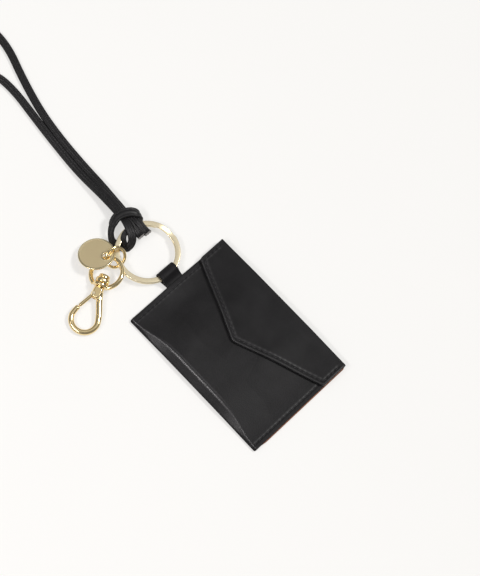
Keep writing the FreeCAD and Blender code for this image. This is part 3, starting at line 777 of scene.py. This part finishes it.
def pouch_lining():
    """Thin tan lining of the card pocket, open at the mouth."""
    y_all = np.linspace(MOUTH_Y - 0.5, -DEPTH / 2 + 3.0, 40)
    n, end, gauge = len(y_all), -DEPTH / 2 + 3.0, 0.28
    outer, inner = [], []
    for x in np.linspace(-(LENGTH / 2 - 4.4), LENGTH / 2 - 4.4, 60):
        roof = np.maximum(front_top(np.full_like(y_all, x), y_all) - HIDE - 0.22, HIDE + 0.5)
        shoulder = smooth((-y_all - 18.0) / 16.0)
        under_ridge = 1.7 + 2.4 * float(smooth((LENGTH / 2 - 6.0 - abs(x)) / 26.0))
        roof = roof * (1 - shoulder) + np.minimum(roof, under_ridge) * shoulder
        high, low = roof[-1], HIDE + 0.04
        gap = max(high - low - 0.6, 0.0)
        line = [(x, y, z) for y, z in zip(y_all, roof)]
        line += [(x, end - 0.7, high - 0.35 * gap), (x, end - 0.9, (high + low) / 2),
                 (x, end - 0.7, low + 0.35 * gap)]
        line = np.array(line + [(x, y, low) for y in y_all[::-1]])
        outer.append(line)
        push = np.zeros_like(line)
        push[:n, 2], push[n:n + 3, 1], push[n + 3:, 2] = -gauge, gauge, gauge
        inner.append(line + push)
    points, faces, _ = two_sided(np.array(outer), np.array(inner))
    obj = piece("pouch_lining", (points, faces), LINING_FINISH, crease=60)
    return finished(obj, "pouch", ("pocket_lining",))


pouch_lining()


# ---- the flap ------------------------------------------------------------------------------
def fold_level(x):
    """Height of the flap's inner face at the fold: a little higher over the card."""
    return 4.2 + 1.0 * smooth((LENGTH / 2 - np.abs(x)) / 34.0)


def flap_under(x, y):
    """Height of the flap's inner face: over the front panel, then level to the fold."""
    body = front_top(x, np.minimum(y, MOUTH_Y)) + 0.35
    level = fold_level(x)
    rise = np.maximum(level - body, 0.0) * smooth((y - 10.0) / 25.0)
    fall = np.maximum(body - level, 0.0) * smooth((y - MOUTH_Y - 0.2) / 6.4)
    return body + rise - fall


def flap_outline():
    """The flap's cut edge in X and Y, from one end of the fold round its point to the other."""
    side_y, half = DEPTH / 2 - FLAP_SIDE, LENGTH / 2
    corners = [np.array(p) for p in ((-half, FOLD_Y), (-half, side_y), (-2.5, DEPTH / 2 - FLAP_TIP),
                                     (half, side_y), (half, FOLD_Y))]
    out, last = [], corners[0]
    for i, radius in ((1, FLAP_CORNER_R), (2, FLAP_TIP_R), (3, FLAP_CORNER_R)):
        a, b = unit(corners[i - 1] - corners[i]), unit(corners[i + 1] - corners[i])
        half_angle = math.acos(float(np.dot(a, b))) / 2
        reach = radius / math.tan(half_angle)
        middle = corners[i] + unit(a + b) * (radius / math.sin(half_angle))
        start, end = corners[i] + a * reach, corners[i] + b * reach
        out.append(np.linspace(last, start, max(2, int(np.linalg.norm(start - last) / 0.25)))[:-1])
        t0 = math.atan2(*(start - middle)[::-1])
        t1 = math.atan2(*(end - middle)[::-1])
        if t1 < t0:
            t1 += 2 * math.pi
        out.append(np.array([middle + radius * np.array((math.cos(t), math.sin(t)))
                             for t in np.linspace(t0, t1, 16)])[:-1])
        last = end
    out.append(np.linspace(last, corners[4], 70))
    return np.concatenate(out)


OUTLINE = flap_outline()
OUTLINE_AT = np.concatenate([[0], np.cumsum(np.linalg.norm(np.diff(OUTLINE, axis=0), axis=1))])
FLAP_STITCH_IN = 2.2


def from_outline(x, y):
    """Distance in from the flap's cut edge and the place along it, for arrays of points."""
    flat = np.stack([x.ravel(), y.ravel()], 1)
    d, s = np.empty(len(flat)), np.empty(len(flat))
    a, b = OUTLINE[:-1], OUTLINE[1:]
    ab = b - a
    for i in range(0, len(flat), 2000):
        p = flat[i:i + 2000, None]
        t = np.clip(((p - a) * ab).sum(2) / (ab * ab).sum(1), 0, 1)
        far = np.linalg.norm(p - (a + ab * t[..., None]), axis=2)
        k = far.argmin(1)
        row = np.arange(len(k))
        d[i:i + 2000] = far[row, k]
        s[i:i + 2000] = OUTLINE_AT[k] + t[row, k] * (OUTLINE_AT[k + 1] - OUTLINE_AT[k])
    return d.reshape(x.shape), s.reshape(x.shape)


def flap_columns():
    half = [0.0, 0.08, 0.2, 0.38, 0.6, 0.85, 1.15, 1.45, 1.75, 2.0, 2.25, 2.5, 2.75, 3.05, 3.4, 3.8, 4.3, 4.9]
    return columns(half, 46.9, 150)


def flap_grid():
    """Plan positions of the flap's grid: columns across, rows from the fold to the cut edge."""
    xs = flap_columns()
    lower = OUTLINE[(OUTLINE[:, 1] < DEPTH / 2 - FLAP_SIDE + FLAP_CORNER_R + 1e-6)]
    lower = lower[np.argsort(lower[:, 0])]
    y_end = np.interp(xs, lower[:, 0], lower[:, 1])
    y_end[0] = y_end[-1] = DEPTH / 2 - FLAP_SIDE + 2.2
    close = np.array([0, 0.09, 0.2, 0.36, 0.56, 0.8, 1.1, 1.4, 1.7, 2.0, 2.3, 2.6, 2.9, 3.3, 3.8, 4.5])
    return xs, np.array([np.concatenate([np.linspace(FOLD_Y - 0.6, low + 5.2, 62), (low + close)[::-1]])
                         for low in y_end])


def flap_shells():
    """The flap's two layers: the hide, which goes on round the fold, and its lining layer."""
    xs, ys = flap_grid()
    x = np.broadcast_to(xs[:, None], ys.shape)
    d, s = from_outline(x, ys)
    under = flap_under(x, ys)
    top = under + FLAP_IN + FLAP_OUT
    fold = smooth((FOLD_Y - 1.0 - ys) / 4.0)
    # stitch channel, the swell inside it, the soft roll of the edge
    channel = np.exp(-((d - FLAP_STITCH_IN) / 0.38) ** 2)
    swell = np.exp(-((d - FLAP_STITCH_IN - 0.95) / 0.6) ** 2)
    hole = 0.5 + 0.5 * np.cos(2 * math.pi * s / PITCH)
    puff = smooth((d - FLAP_STITCH_IN) / 5.0) * 0.2
    roll = 0.75 * (1 - np.sqrt(1 - np.clip(1 - d / 0.85, 0, 1) ** 2))
    top = top + fold * (-channel * (0.26 + 0.16 * hole) + swell * (0.13 - 0.11 * hole) + puff - 0.05) - roll
    split = under + FLAP_IN
    outer = np.stack([x, ys, top], 2)
    mid_out = np.stack([x, ys, np.minimum(split, top - 0.25)], 2)
    # round the fold and down the spine's outer half
    r, z_mid = SPINE_R, (FOLD_LOW + FOLD_HIGH) / 2
    around_out, around_in = [], []
    for xv in xs:
        high = float(fold_level(xv)) + 1.0
        at_end = max(0.0, 1 - (LENGTH / 2 - abs(xv)) / 0.6)
        edge = 0.35 * (1 - math.sqrt(max(0.0, 1 - at_end ** 2)))
        turn = [(z, 1.0, 0.0) for z in np.linspace(z_mid, high, 6)[:-1]]
        turn += [(high, math.cos(a), math.sin(a)) for a in map(math.radians, range(0, 91, 10))]
        around_out.append([(xv, FOLD_Y + r * c - edge * c, z + r * s - edge * s) for z, c, s in turn])
        around_in.append([(xv, FOLD_Y - 0.1 * c, z - 0.1 * s) for z, c, s in turn])
    around_out, around_in = np.array(around_out), np.array(around_in)
    outer = np.concatenate([around_out, outer], 1)
    mid_out = np.concatenate([around_in, mid_out], 1)
    points, faces, kinds = two_sided(outer, mid_out)
    hide = piece("flap_hide", (points, faces), [SMOOTH_HIDE, PAINTED_EDGE, PAINTED_EDGE], kinds, crease=55)
    rubbed = np.clip(0.4 * swell * (1 - 0.5 * hole) * fold + 0.5 * np.exp(-((d - 0.45) / 0.4) ** 2), 0, 1)
    rubbed = np.concatenate([np.zeros(around_out.shape[:2]), rubbed], 1)
    polish(hide, np.concatenate([rubbed.ravel(), np.zeros(rubbed.size)]))
    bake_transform(hide)
    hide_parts("flap_outer", "flap_spine")
    # the inner layer, a little larger than the outer one so that its edge shows
    edge_in = 0.16 * (1 - smooth(d / 0.45))
    lift_top = np.stack([x, ys, np.minimum(split - 0.01, split - edge_in)], 2)
    base = np.stack([x, ys, under + 0.22 * (1 - smooth(d / 0.5))], 2)
    keep = ys[0] < FOLD_Y - 1.9
    points, faces, kinds = two_sided(lift_top[:, keep], base[:, keep])
    sides = [FLAP_LINING_FINISH, FLAP_LINING_FINISH, PAINTED_EDGE]
    under_side = piece("flap_lining_layer", (points, faces), sides, kinds, crease=55)
    finished(under_side, "flap", ("flap_lining",))


flap_shells()


def flap_stitch_line():
    """Where the thread runs: inside the cut edge, from fold to fold."""
    a = np.roll(OUTLINE, -1, 0) - np.roll(OUTLINE, 1, 0)
    a[0], a[-1] = OUTLINE[1] - OUTLINE[0], OUTLINE[-1] - OUTLINE[-2]
    a = units(a)
    inward = np.stack([-a[:, 1], a[:, 0]], 1)
    line = OUTLINE + inward * FLAP_STITCH_IN
    d, _ = from_outline(line[:, 0], line[:, 1])
    line = line[(d > FLAP_STITCH_IN - 0.03) & (line[:, 1] < FOLD_Y - 1.2)]
    z = flap_under(line[:, 0], line[:, 1]) + FLAP_IN + FLAP_OUT - 0.30
    points = even(np.column_stack([line, z]), 0.5)
    x, y, e = points[:, 0], points[:, 1], 0.4
    slope_x = (flap_under(x + e, y) - flap_under(x - e, y)) / (2 * e)
    slope_y = (flap_under(x, y + e) - flap_under(x, y - e)) / (2 * e)
    return points, units(np.column_stack([-slope_x, -slope_y, np.ones(len(points))]))


finished(stitched("flap_stitching", [flap_stitch_line()], PITCH, 2.5, 0.62), "flap")


def pouch_stitch_lines():
    """The thread down each side, on the front and on the back."""
    lines = []
    for x in (STITCH_IN - LENGTH / 2, LENGTH / 2 - STITCH_IN):
        y = np.arange(-DEPTH / 2 + 3.2, MOUTH_Y - 1.0, 0.5)
        lines.append((np.stack([0 * y + x, y, front_top(0 * y + x, y) - 0.24], 1), (0.0, 0.0, 1.0)))
        y = np.arange(-DEPTH / 2 + 3.2, FOLD_Y - 2.0, 0.5)
        lines.append((np.stack([0 * y + x, y, 0 * y + 0.32], 1), (0.0, 0.0, -1.0)))
    return lines


finished(stitched("pouch_stitching", pouch_stitch_lines(), PITCH, 2.4, 0.6), "pouch")


def strap_stitch_lines():
    """One row of thread along the folded strap's open edge."""
    side, top = strap_sides(strap_path, strap_up)
    back = int(np.argmax(np.arange(len(strap_path)) * (strap_path[:, 0] < -231.0)))
    lines = []
    for part, across in ((slice(0, back - 6), 1.0), (slice(back, None), -1.0)):
        row = strap_path + side * across * (STRAP_W / 2 - STRAP_STITCH_IN) + top * (STRAP_T / 2 * 0.72)
        lines.append((row[part], top[part]))
    return lines


strap_stitches = stitched("strap_stitching", strap_stitch_lines(), 2.6, 1.9, 0.5, 0.0)
finished(strap_stitches, "ring")

for name in ("flap_magnet", "pocket_magnet", "gate_spring"):
    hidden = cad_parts[name].data.materials
    hidden.clear()
    hidden.append(STEEL)


# ---- tab and rings -----------------------------------------------------------------------
def tab_line():
    """Middle line of the tab's leather: out of the seam, round the ring's band and back."""
    r = TAB_BORE + TAB_T / 2
    centre, ez = np.array((TAB_X, RING_C[2])), EDGE / 2 + 1.1
    ends = [np.array((-46.5, ez + TAB_T / 2)), np.array((-46.5, ez - TAB_T / 2))]
    out = [ends[0], np.array((-53.4, ez + TAB_T / 2 + 0.05))]
    for a in np.linspace(62, 298, 26):
        t = math.radians(a)
        out.append(centre + r * np.array((math.cos(t), math.sin(t))))
    out += [np.array((-53.4, ez - TAB_T / 2 - 0.05)), ends[1]]
    return np.array([(p[0], RING_C[1], p[1]) for p in out])


def tab():
    """Folded tab of edge-turned leather with a pressed line along each side."""
    line = even(curve_through(tab_line(), 160), 0.45)
    w, t = TAB_W / 2, TAB_T / 2
    section = []
    for y in (w - 0.12, w - 0.45, w - 0.9, w - 1.35, w - 1.6, w - 1.85, w - 2.4, 2.0, 0.0):
        groove = 0.16 * math.exp(-((w - 1.6 - y) / 0.22) ** 2)
        section.append((y, t - groove - 0.10 * max(0.0, (y - (w - 0.5)) / 0.4)))
    section = [(w, 0.3 * t), (w - 0.02, 0.62 * t)] + section
    section += [(-y, z) for y, z in reversed(section[:-1])]
    section = np.array(section + [(y, -z) for y, z in reversed(section)])
    shape = sweep(line, section, up=(0, 1, 0), lift=lambda i, s: s[:, ::-1])
    obj = piece("ring_tab_leather", shape, [SMOOTH_HIDE], crease=60)
    return finished(obj, "pouch", ("ring_tab",))


tab()


def split_ring():
    """One flat wire wound twice, stepping from the lower turn to the upper."""
    start, turns, steps = RING_CROSS + 20.0, 720.0 - 40.0, 300
    a = start + turns * np.arange(steps + 1) / steps
    into = (a - (RING_CROSS + 360.0 - 18.0)) / 36.0
    z = RING_C[2] - RING_PITCH / 2 + RING_PITCH * smooth(into)
    t = np.radians(a)
    line = np.stack([RING_C[0] + RING_R * np.cos(t), RING_C[1] + RING_R * np.sin(t), z], 1)
    section = soft_box(RING_BAND, RING_TURN, 0.42, 5)
    shape = sweep(line, section, up=(0, 0, 1))
    obj = piece("split_ring_wire", shape, RING_GOLD, crease=50)
    return finished(obj, "ring", ("split_ring",))


split_ring()


def jump_ring():
    """Round wire bent to a ring, with the hair-wide gap where it was closed."""
    n = unit(JUMP_N)
    u = unit(np.cross(n, (0.2, 1.0, 0.1)))
    v = np.cross(n, u)
    a = np.radians(np.linspace(142.0, 142.0 + 357.6, 97))
    line = JUMP_C + JUMP_R * (np.cos(a)[:, None] * u + np.sin(a)[:, None] * v)
    obj = piece("jump_ring_wire", sweep(line, round_section(JUMP_WIRE, 20), up=n), CLASP_GOLD, crease=50)
    return finished(obj, "jump", ("jump_ring",))


jump_ring()


def jump_point(target):
    """The place on the jump ring's wire nearest to a point."""
    n = unit(JUMP_N)
    d = np.asarray(target, float) - JUMP_C
    return JUMP_C + unit(d - n * np.dot(d, n)) * JUMP_R


def tag_disc():
    """Disc with a rolled polished rim, a satin face and an eyelet hole."""
    hole = jump_point((-89.8, -22.6, 7.6))
    n = unit(TAG_N)
    d = np.array((-95.2, -25.6, 6.0)) - hole
    along = unit(d - n * np.dot(d, n))
    place = axes(hole + along * TAG_HOLE_AT, -along, np.cross(n, -along))
    half = TAG_T / 2
    # (share of the way from hole to rim, step in from hole, step in from rim, height)
    eyelet = ((0.0, 0.25), (0.03, 0.6), (0.14, 0.9), (0.34, 1.0), (0.60, 0.97), (0.78, 0.80))
    rim = ((0.95, 0.80), (0.78, 0.84), (0.58, 0.98), (0.34, 1.0), (0.14, 0.88), (0.03, 0.55), (0.0, 0.2))
    top = [(0, step, 0, h * half) for step, h in eyelet]
    top += [(k / 14, 0.8, 0.95, 0.80 * half) for k in range(1, 14)]
    top += [(1, 0, step, h * half) for step, h in rim]
    rows = top + [(s, a, b, -h) for s, a, b, h in reversed(top)]
    angles = np.arange(120) * 2 * math.pi / 120
    points = []
    for share, from_hole, from_rim, h in rows:
        for t in angles:
            c = np.array((math.cos(t), math.sin(t)))
            inner = np.array((TAG_HOLE_AT, 0)) + c * (TAG_HOLE_R + from_hole)
            outer = c * (TAG_R - from_rim)
            if 0 < share < 1:
                p = inner * (1 - share) + outer * share
            else:
                p = inner if share == 0 else outer
            points.append((p[0], p[1], h))
    faces = grid(len(rows), len(angles), wrap_rows=True, wrap_cols=True)
    n_face = len(angles)
    kinds = []
    for f in faces:
        r = f[0] // n_face
        flat = any(lo <= r < hi for lo, hi in ((5, 19), (len(rows) - 20, len(rows) - 6)))
        kinds.append(0 if flat else 1)
    obj = piece("tag_disc_plate", (place(points), faces), [TAG_GOLD, TAG_RIM], kinds, crease=60)
    return finished(obj, "tag", ("tag_disc",))


tag_disc()

# ---- the clasp ------------------------------------------------------------------------------
ALONG = unit(AXIS)
FLAT = unit((-AXIS[1], AXIS[0], 0))
UP = unit(np.cross(ALONG, FLAT))
ROLL = math.radians(EYE_ROLL)
in_eye = axes(EYE_C, ALONG, FLAT * math.cos(ROLL) + UP * math.sin(ROLL))
in_hook = axes(EYE_C + ALONG * COLLAR_AT, ALONG, FLAT)


def bail():
    """The clasp's round eye, cast in one with its bored collar."""
    a = np.radians(np.linspace(30.0, 330.0, 110))
    line = np.stack([EYE_R * np.cos(a), EYE_R * np.sin(a), 0 * a], 1)
    # the arms draw in to the collar
    thick = 1.0 + 0.24 * smooth((np.abs(np.degrees(a) - 180) - 42) / 60)
    arms = sweep(line, round_section(EYE_WIRE, 18), up=(0, 0, 1), scale=thick)
    h = COLLAR_T / 2
    wide = COLLAR_R + 0.6
    profile = [(-h, 3.6), (0.2 - h, wide - 0.4), (0.55 - h, wide), (h - 0.7, wide),
               (h - 0.25, wide - 0.3), (h, 3.6)]
    collar = lathe([(COLLAR_AT + x, r) for x, r in profile], lambda p: p, 64)
    points, faces = merged([arms, collar])
    obj = piece("clasp_bail_casting", (in_eye(points), faces), CLASP_GOLD)
    cast(obj, 0.17, 5)
    above_table(obj)
    return finished(obj, "eye", ("clasp_bail",))


bail()


def swivel_post():
    """Headed post through the collar: a button, a groove and a barrel."""
    f = -COLLAR_T / 2 - 0.1
    wide = POST_HEAD_R + 0.5
    # the button's end, the groove round it, the barrel and the pin through the collar
    profile = [(f + x, r) for x, r in (
        (-POST_HEAD, 1.9), (0.08 - POST_HEAD, 2.5), (0.3 - POST_HEAD, 3.0), (0.7 - POST_HEAD, 3.3),
        (-4.1, 3.4), (-3.9, 3.42), (-3.7, 3.25), (-3.45, 3.1), (-3.2, 3.35), (-2.95, wide - 0.25),
        (-2.6, wide), (-0.7, wide), (-0.3, wide - 0.15), (0.0, wide - 0.6), (0.02, POST_R + 0.3),
        (0.1, POST_R))] + [(4.0, POST_R)]
    obj = piece("swivel_post_barrel", lathe(profile, in_hook, 56), CLASP_GOLD, crease=42)
    return finished(obj, "hook", ("swivel_post",))


swivel_post()


def hook_path():
    """Middle line of the limb: down from the head, round the bow and back to the nose."""
    c, r = HOOK_REACH, HOOK_R
    points = [(4.0, 1.6, 0), (5.0, 1.9, 0), (9.5, 3.5, 0), (15.0, 5.9, 0), (19.0, 7.3, 0)]
    for k in range(0, 13):
        a = math.radians(90 - 15 * k)
        points.append((c + r * math.cos(a), r * math.sin(a), 0))
    points += [(19.0, -7.3, 0), (16.4, -6.4, 0)]
    return even(curve_through(points, 260), 0.4)


def hook_body():
    """One casting: the limb, thinner to its nose, and the flattened head with the fork."""
    line = hook_path()
    share = np.linspace(0, 1, len(line))
    thick = 1.10 - 0.10 * smooth((share - 0.15) / 0.3) - 0.10 * smooth((share - 0.8) / 0.2)
    thick[-1], thick[-2], thick[-3] = 0.45, 0.78, 0.93
    limb = sweep(line, round_section(HOOK_WIRE, 20), up=(0, 0, 1), scale=thick)
    head = lathe([(1.3, 2.3), (1.45, 2.65), (1.9, 3.0), (3.0, 3.2), (6.6, 3.3), (7.6, 2.9),
                  (8.4, 2.0), (8.8, 1.0)], lambda p: p, 40)
    head[0][:, 2] = np.clip(head[0][:, 2], -2.45, 2.45)
    body = piece("hook_casting", merged([limb, head]), CLASP_GOLD)
    cast(body, 0.2, 3)
    # the fork that holds the gate, and the nose's seat for the gate's end
    fork = sweep(np.array([(3.9, -2.4, 0), (10.4, -2.4, 0)]), soft_box(5.6, 2.5, 0.2, 2), up=(0, 0, 1))
    seat = sweep(np.array([(12.4, -4.6, 0), (15.4, -5.9, 0), (16.1, -6.2, 0)]),
                 round_section(1.5, 20), up=(0, 0, 1))
    tool = piece("fork_cutter", merged([fork, seat]), CLASP_GOLD)
    trim = body.modifiers.new("fork", "BOOLEAN")
    trim.operation, trim.solver, trim.object = "DIFFERENCE", "EXACT", tool
    baked(body)
    bpy.data.objects.remove(tool)
    co = np.array([v.co for v in body.data.vertices], float) / MM
    body.data.vertices.foreach_set("co", (in_hook(co) * MM).ravel())
    shade_smooth(body.data)
    body.data.set_sharp_from_angle(angle=math.radians(40))
    return finished(body, "hook", ("hook_body",))


hook_body()


def hook_gate():
    """The lever: a round rod with a rounded end and its knuckle."""
    run = GATE_END - GATE_PIVOT
    d = unit(run)
    long = float(np.linalg.norm(run))
    rod_line = np.array([GATE_PIVOT + d * s for s in np.linspace(0.0, long + 0.9, 40)])
    scale = np.ones(40)
    scale[-4:] = (0.97, 0.86, 0.66, 0.35)
    rod = sweep(rod_line, round_section(GATE_WIRE, 18), up=(0, 0, 1), scale=scale)
    knuckle = lathe([(-1.08, 1.3), (-0.95, 1.6), (-0.75, 1.7), (0.75, 1.7), (0.95, 1.6), (1.08, 1.3)],
                    lambda p: p[:, [1, 2, 0]] + GATE_PIVOT, 32)
    points, faces = merged([rod, knuckle])
    obj = piece("hook_gate_lever", (in_hook(points), faces), CLASP_GOLD)
    cast(obj, 0.12, 2)
    return finished(obj, "gate", ("hook_gate",))


hook_gate()


def gate_rivet():
    """The gate's pin, with a domed head on both faces."""
    end = [(2.44, 0.75), (2.45, 1.1), (2.55, 1.05), (2.72, 0.85), (2.75, 0.5)]
    profile = [(-x, r) for x, r in reversed(end)] + end
    place = lambda p: in_hook(p[:, [1, 2, 0]] + GATE_PIVOT)
    obj = piece("gate_rivet", lathe(profile, place, 32), RING_GOLD, crease=35)
    return finished(obj, "hook", ("gate_pin",))


gate_rivet()

# ---- the knot -------------------------------------------------------------------------------
# each band's width, thickness and route, as points with the direction its face looks
KNOT = {
    "wrap": (6.0, 2.4, [((-99.2, -8.6, 6.6), (-0.5, -0.75, 0.45)), ((-101.4, -6.2, 8.0), (-0.45, -0.55, 0.7)),
                        ((-102.9, -2.4, 9.0), (-0.25, -0.3, 0.92)), ((-102.7, 1.1, 9.5), (-0.1, -0.1, 1)),
                        ((-101.4, 4.5, 9.7), (0, 0.05, 1)), ((-99.4, 7.5, 9.4), (0.1, 0.3, 0.95)),
                        ((-97.2, 9.4, 8.4), (0.2, 0.65, 0.72)), ((-95.7, 10.3, 6.2), (0.25, 0.95, 0.2)),
                        ((-95.2, 9.7, 3.6), (0.2, 0.95, -0.3)), ((-94.6, 7.8, 2.4), (0.1, 0.5, -0.85)),
                        ((-92.5, 5.2, 1.6), (0, 0.1, -1))]),
    "loop": (4.8, 2.4, [((-101.8, -5.4, 8.0), (-0.5, -0.4, 0.75)), ((-100.9, -7.4, 7.4), (-0.55, -0.55, 0.6)),
                        ((-99.0, -9.7, 6.0), (-0.5, -0.7, 0.5)), ((-96.8, -11.2, 4.0), (-0.3, -0.8, 0.5)),
                        ((-94.4, -11.7, 2.4), (-0.1, -0.6, 0.8)), ((-91.8, -11.3, 1.4), (0, -0.2, 1)),
                        ((-89.0, -10.0, 1.3), (0, 0, 1)), ((-86.6, -7.8, 1.7), (0.2, -0.2, 1)),
                        ((-85.6, -5.6, 2.8), (0.5, -0.2, 0.8))]),
    "front": (5.0, 2.4, [((-103.5, 2.4, 6.9), (0, 0, 1)), ((-100.3, 1.9, 7.0), (0, 0, 1)),
                         ((-95.9, 0.6, 7.9), (0, -0.05, 1)), ((-92.0, -0.9, 7.8), (0.1, -0.1, 1)),
                         ((-88.6, -2.3, 6.6), (0.35, -0.1, 0.93)), ((-86.7, -4.2, 4.7), (0.7, -0.3, 0.6)),
                         ((-86.2, -6.6, 3.0), (0.7, -0.5, 0.5)), ((-87.4, -8.6, 1.9), (0.3, -0.4, 0.85))]),
    "cross": (3.4, 2.2, [((-93.4, 2.6, 6.6), (0, 0, 1)), ((-93.2, -2.3, 6.6), (0, 0, 1)),
                         ((-92.7, -5.0, 6.3), (0.1, -0.2, 1)), ((-91.0, -6.9, 5.0), (0.3, -0.5, 0.8)),
                         ((-89.0, -7.6, 3.2), (0.3, -0.5, 0.8)), ((-87.2, -7.8, 2.0), (0.2, -0.3, 0.9))]),
    "tail_a": (5.0, 2.2, [((-103.0, 4.6, 6.9), (0, 0, 1)), ((-98.6, 4.2, 7.0), (0, 0, 1)),
                          ((-94.9, 3.5, 7.2), (0, -0.1, 1)), ((-90.7, 2.8, 6.6), (0.1, -0.15, 1)),
                          ((-87.2, 2.3, 6.2), (0, -0.15, 1)),
                          ((-84.9, 2.0, 7.1), (-0.4, -0.15, 1))]),
    "tail_b": (5.0, 2.2, [((-101.0, 7.4, 6.9), (0, 0.1, 1)), ((-96.2, 6.9, 7.3), (0, 0.1, 1)),
                          ((-92.5, 6.4, 7.6), (0, 0.1, 1)), ((-88.8, 6.1, 6.9), (0.1, 0.1, 1)),
                          ((-85.6, 6.1, 6.6), (0, 0.1, 1)),
                          ((-83.8, 6.2, 7.4), (-0.4, 0.1, 1))]),
}


def knot():
    """The knot's bands and the thread along those whose open edge shows."""
    parts, kinds, rows = [], [], []
    for name, (width, thick, route) in KNOT.items():
        both = curve_through([(*p, *(10.0 * unit(n))) for p, n in route], 140)
        line, lean = both[:, :3], both[:, 3:] / np.linalg.norm(both[:, 3:], axis=1)[:, None]
        section = strap_section(width, thick)
        # an end that tucks under another turn narrows as it goes in; a tail is cut square
        share = np.linspace(0, 1, len(line))
        tail = name.startswith("tail")
        tucked = 1.0 - 0.38 * (1.0 - smooth(share / 0.14))
        if not tail:
            tucked -= 0.38 * smooth((share - 0.88) / 0.12)
        shape = sweep(line, section, up=lean, scale=tucked)
        shape[0][:, 2] = np.maximum(shape[0][:, 2], 0.05)
        parts.append(shape)
        cut = len(section) if tail else 0
        kinds += [0] * (len(shape[1]) - cut) + [1] * cut
        if name in ("tail_a", "tail_b", "wrap", "front"):
            side, top = strap_sides(line, lean)
            last = 104 if name == "wrap" else -12
            rows.append(((line - side * (width / 2 - STRAP_STITCH_IN) + top * thick * 0.36)[20:last],
                         top[20:last]))
    obj = piece("strap_knot_bands", merged(parts), [STRAP_FINISH, RAW_END], kinds, crease=60)
    finished(stitched("knot_stitching", rows, 2.6, 1.9, 0.5, 0.0), "ring")
    finished(obj, "ring", ("strap_knot",))


knot()


def tie():
    """Flat keeper wrapped round the coil's bundle, its end tucked over."""
    x, y, high = COIL_C[0] - COIL_R, COIL_C[1], 11.0
    loop = soft_box(STRAP_W + 3.4, high, 2.2, 6)
    line = np.stack([x + loop[:, 0], np.full(len(loop), y), high / 2 + 0.5 + loop[:, 1]], 1)
    section = soft_box(5.4, 0.9, 0.3, 3)
    shape = sweep(np.roll(line, 3, 0), section[:, ::-1], up=(0, 1, 0), closed=True)
    return finished(piece("coil_keeper", shape, STRAP_FINISH, crease=60), "ring", ("coil_tie",))


keeper = tie()


# ---- floor and light -------------------------------------------------------------------------
STUDIO_WHITE = 0.6      # the share of studio white in what the camera sees of the table


def floor():
    """Pale table; seen from the camera or in the metal it is a bright studio white that
    keeps a light shadow under the object."""
    f = Finish("pale_table")
    tone = f.blend(f.noise(9.0, 2.0), [(0.3, (0.925, 0.922, 0.905)), (0.7, (0.935, 0.932, 0.915))])
    f.set(Base=tone, Roughness=0.9, Gloss=0.1)
    glow = f.node("Emission", Color=(0.945, 0.935, 0.915, 1.0), Strength=1.0)
    seen, mixed = f.node("LightPath"), f.node("MixShader")
    rays = f.maths("MAXIMUM", seen.outputs["Is Camera Ray"], seen.outputs["Is Glossy Ray"])
    rays = f.maths("MAXIMUM", rays, seen.outputs["Is Transmission Ray"])
    f.link(f.maths("MULTIPLY", rays, STUDIO_WHITE), mixed.inputs["Fac"])
    f.link(f.shader.outputs["BSDF"], mixed.inputs[1])
    f.link(glow.outputs["Emission"], mixed.inputs[2])
    f.link(mixed.outputs["Shader"], f.tree.nodes["Material Output"].inputs["Surface"])
    mesh = bpy.data.meshes.new("table_top")
    low = -0.0001
    mesh.from_pydata([(-4, -4, low), (4, -4, low), (4, 4, low), (-4, 4, low)], [], [(0, 1, 2, 3)])
    mesh.materials.append(f.material)
    placed("table_top", mesh)


def lamp(name, kind, place, target, energy, colour, **shape):
    """A lamp at a place, turned to its target; its energy is in watts, or a sun's strength."""
    light = bpy.data.lights.new(name, kind)
    light.energy, light.color = energy, colour
    for key, value in shape.items():
        setattr(light, key, value)
    obj = placed(name, light)
    obj.location = place
    obj.rotation_euler = (Vector(place) - Vector(target)).to_track_quat("Z", "Y").to_euler()


floor()
lamp("key_lamp", "SUN", (0.42, 0.63, 1.18), (0, 0, 0), 1.72, (1.0, 0.985, 0.965), angle=0.20)
lamp("ceiling_panel", "AREA", (-0.22, 0.43, 1.32), (-0.03, 0, 0), 2.3, (1.0, 1.0, 1.0),
     shape="RECTANGLE", size=1.6, size_y=1.3)
lamp("low_strip", "AREA", (-0.22, -0.81, 1.12), (-0.03, 0, 0), 7.5, (1.0, 0.96, 0.97),
     shape="RECTANGLE", size=0.8, size_y=0.18)
world = bpy.data.worlds.new("studio")
bpy.context.scene.world = world
world.use_nodes = True
sky = world.node_tree.nodes["Background"].inputs
sky["Color"].default_value, sky["Strength"].default_value = (1.0, 1.0, 1.0, 1.0), 0.25
bpy.context.scene.view_settings.view_transform = "Standard"
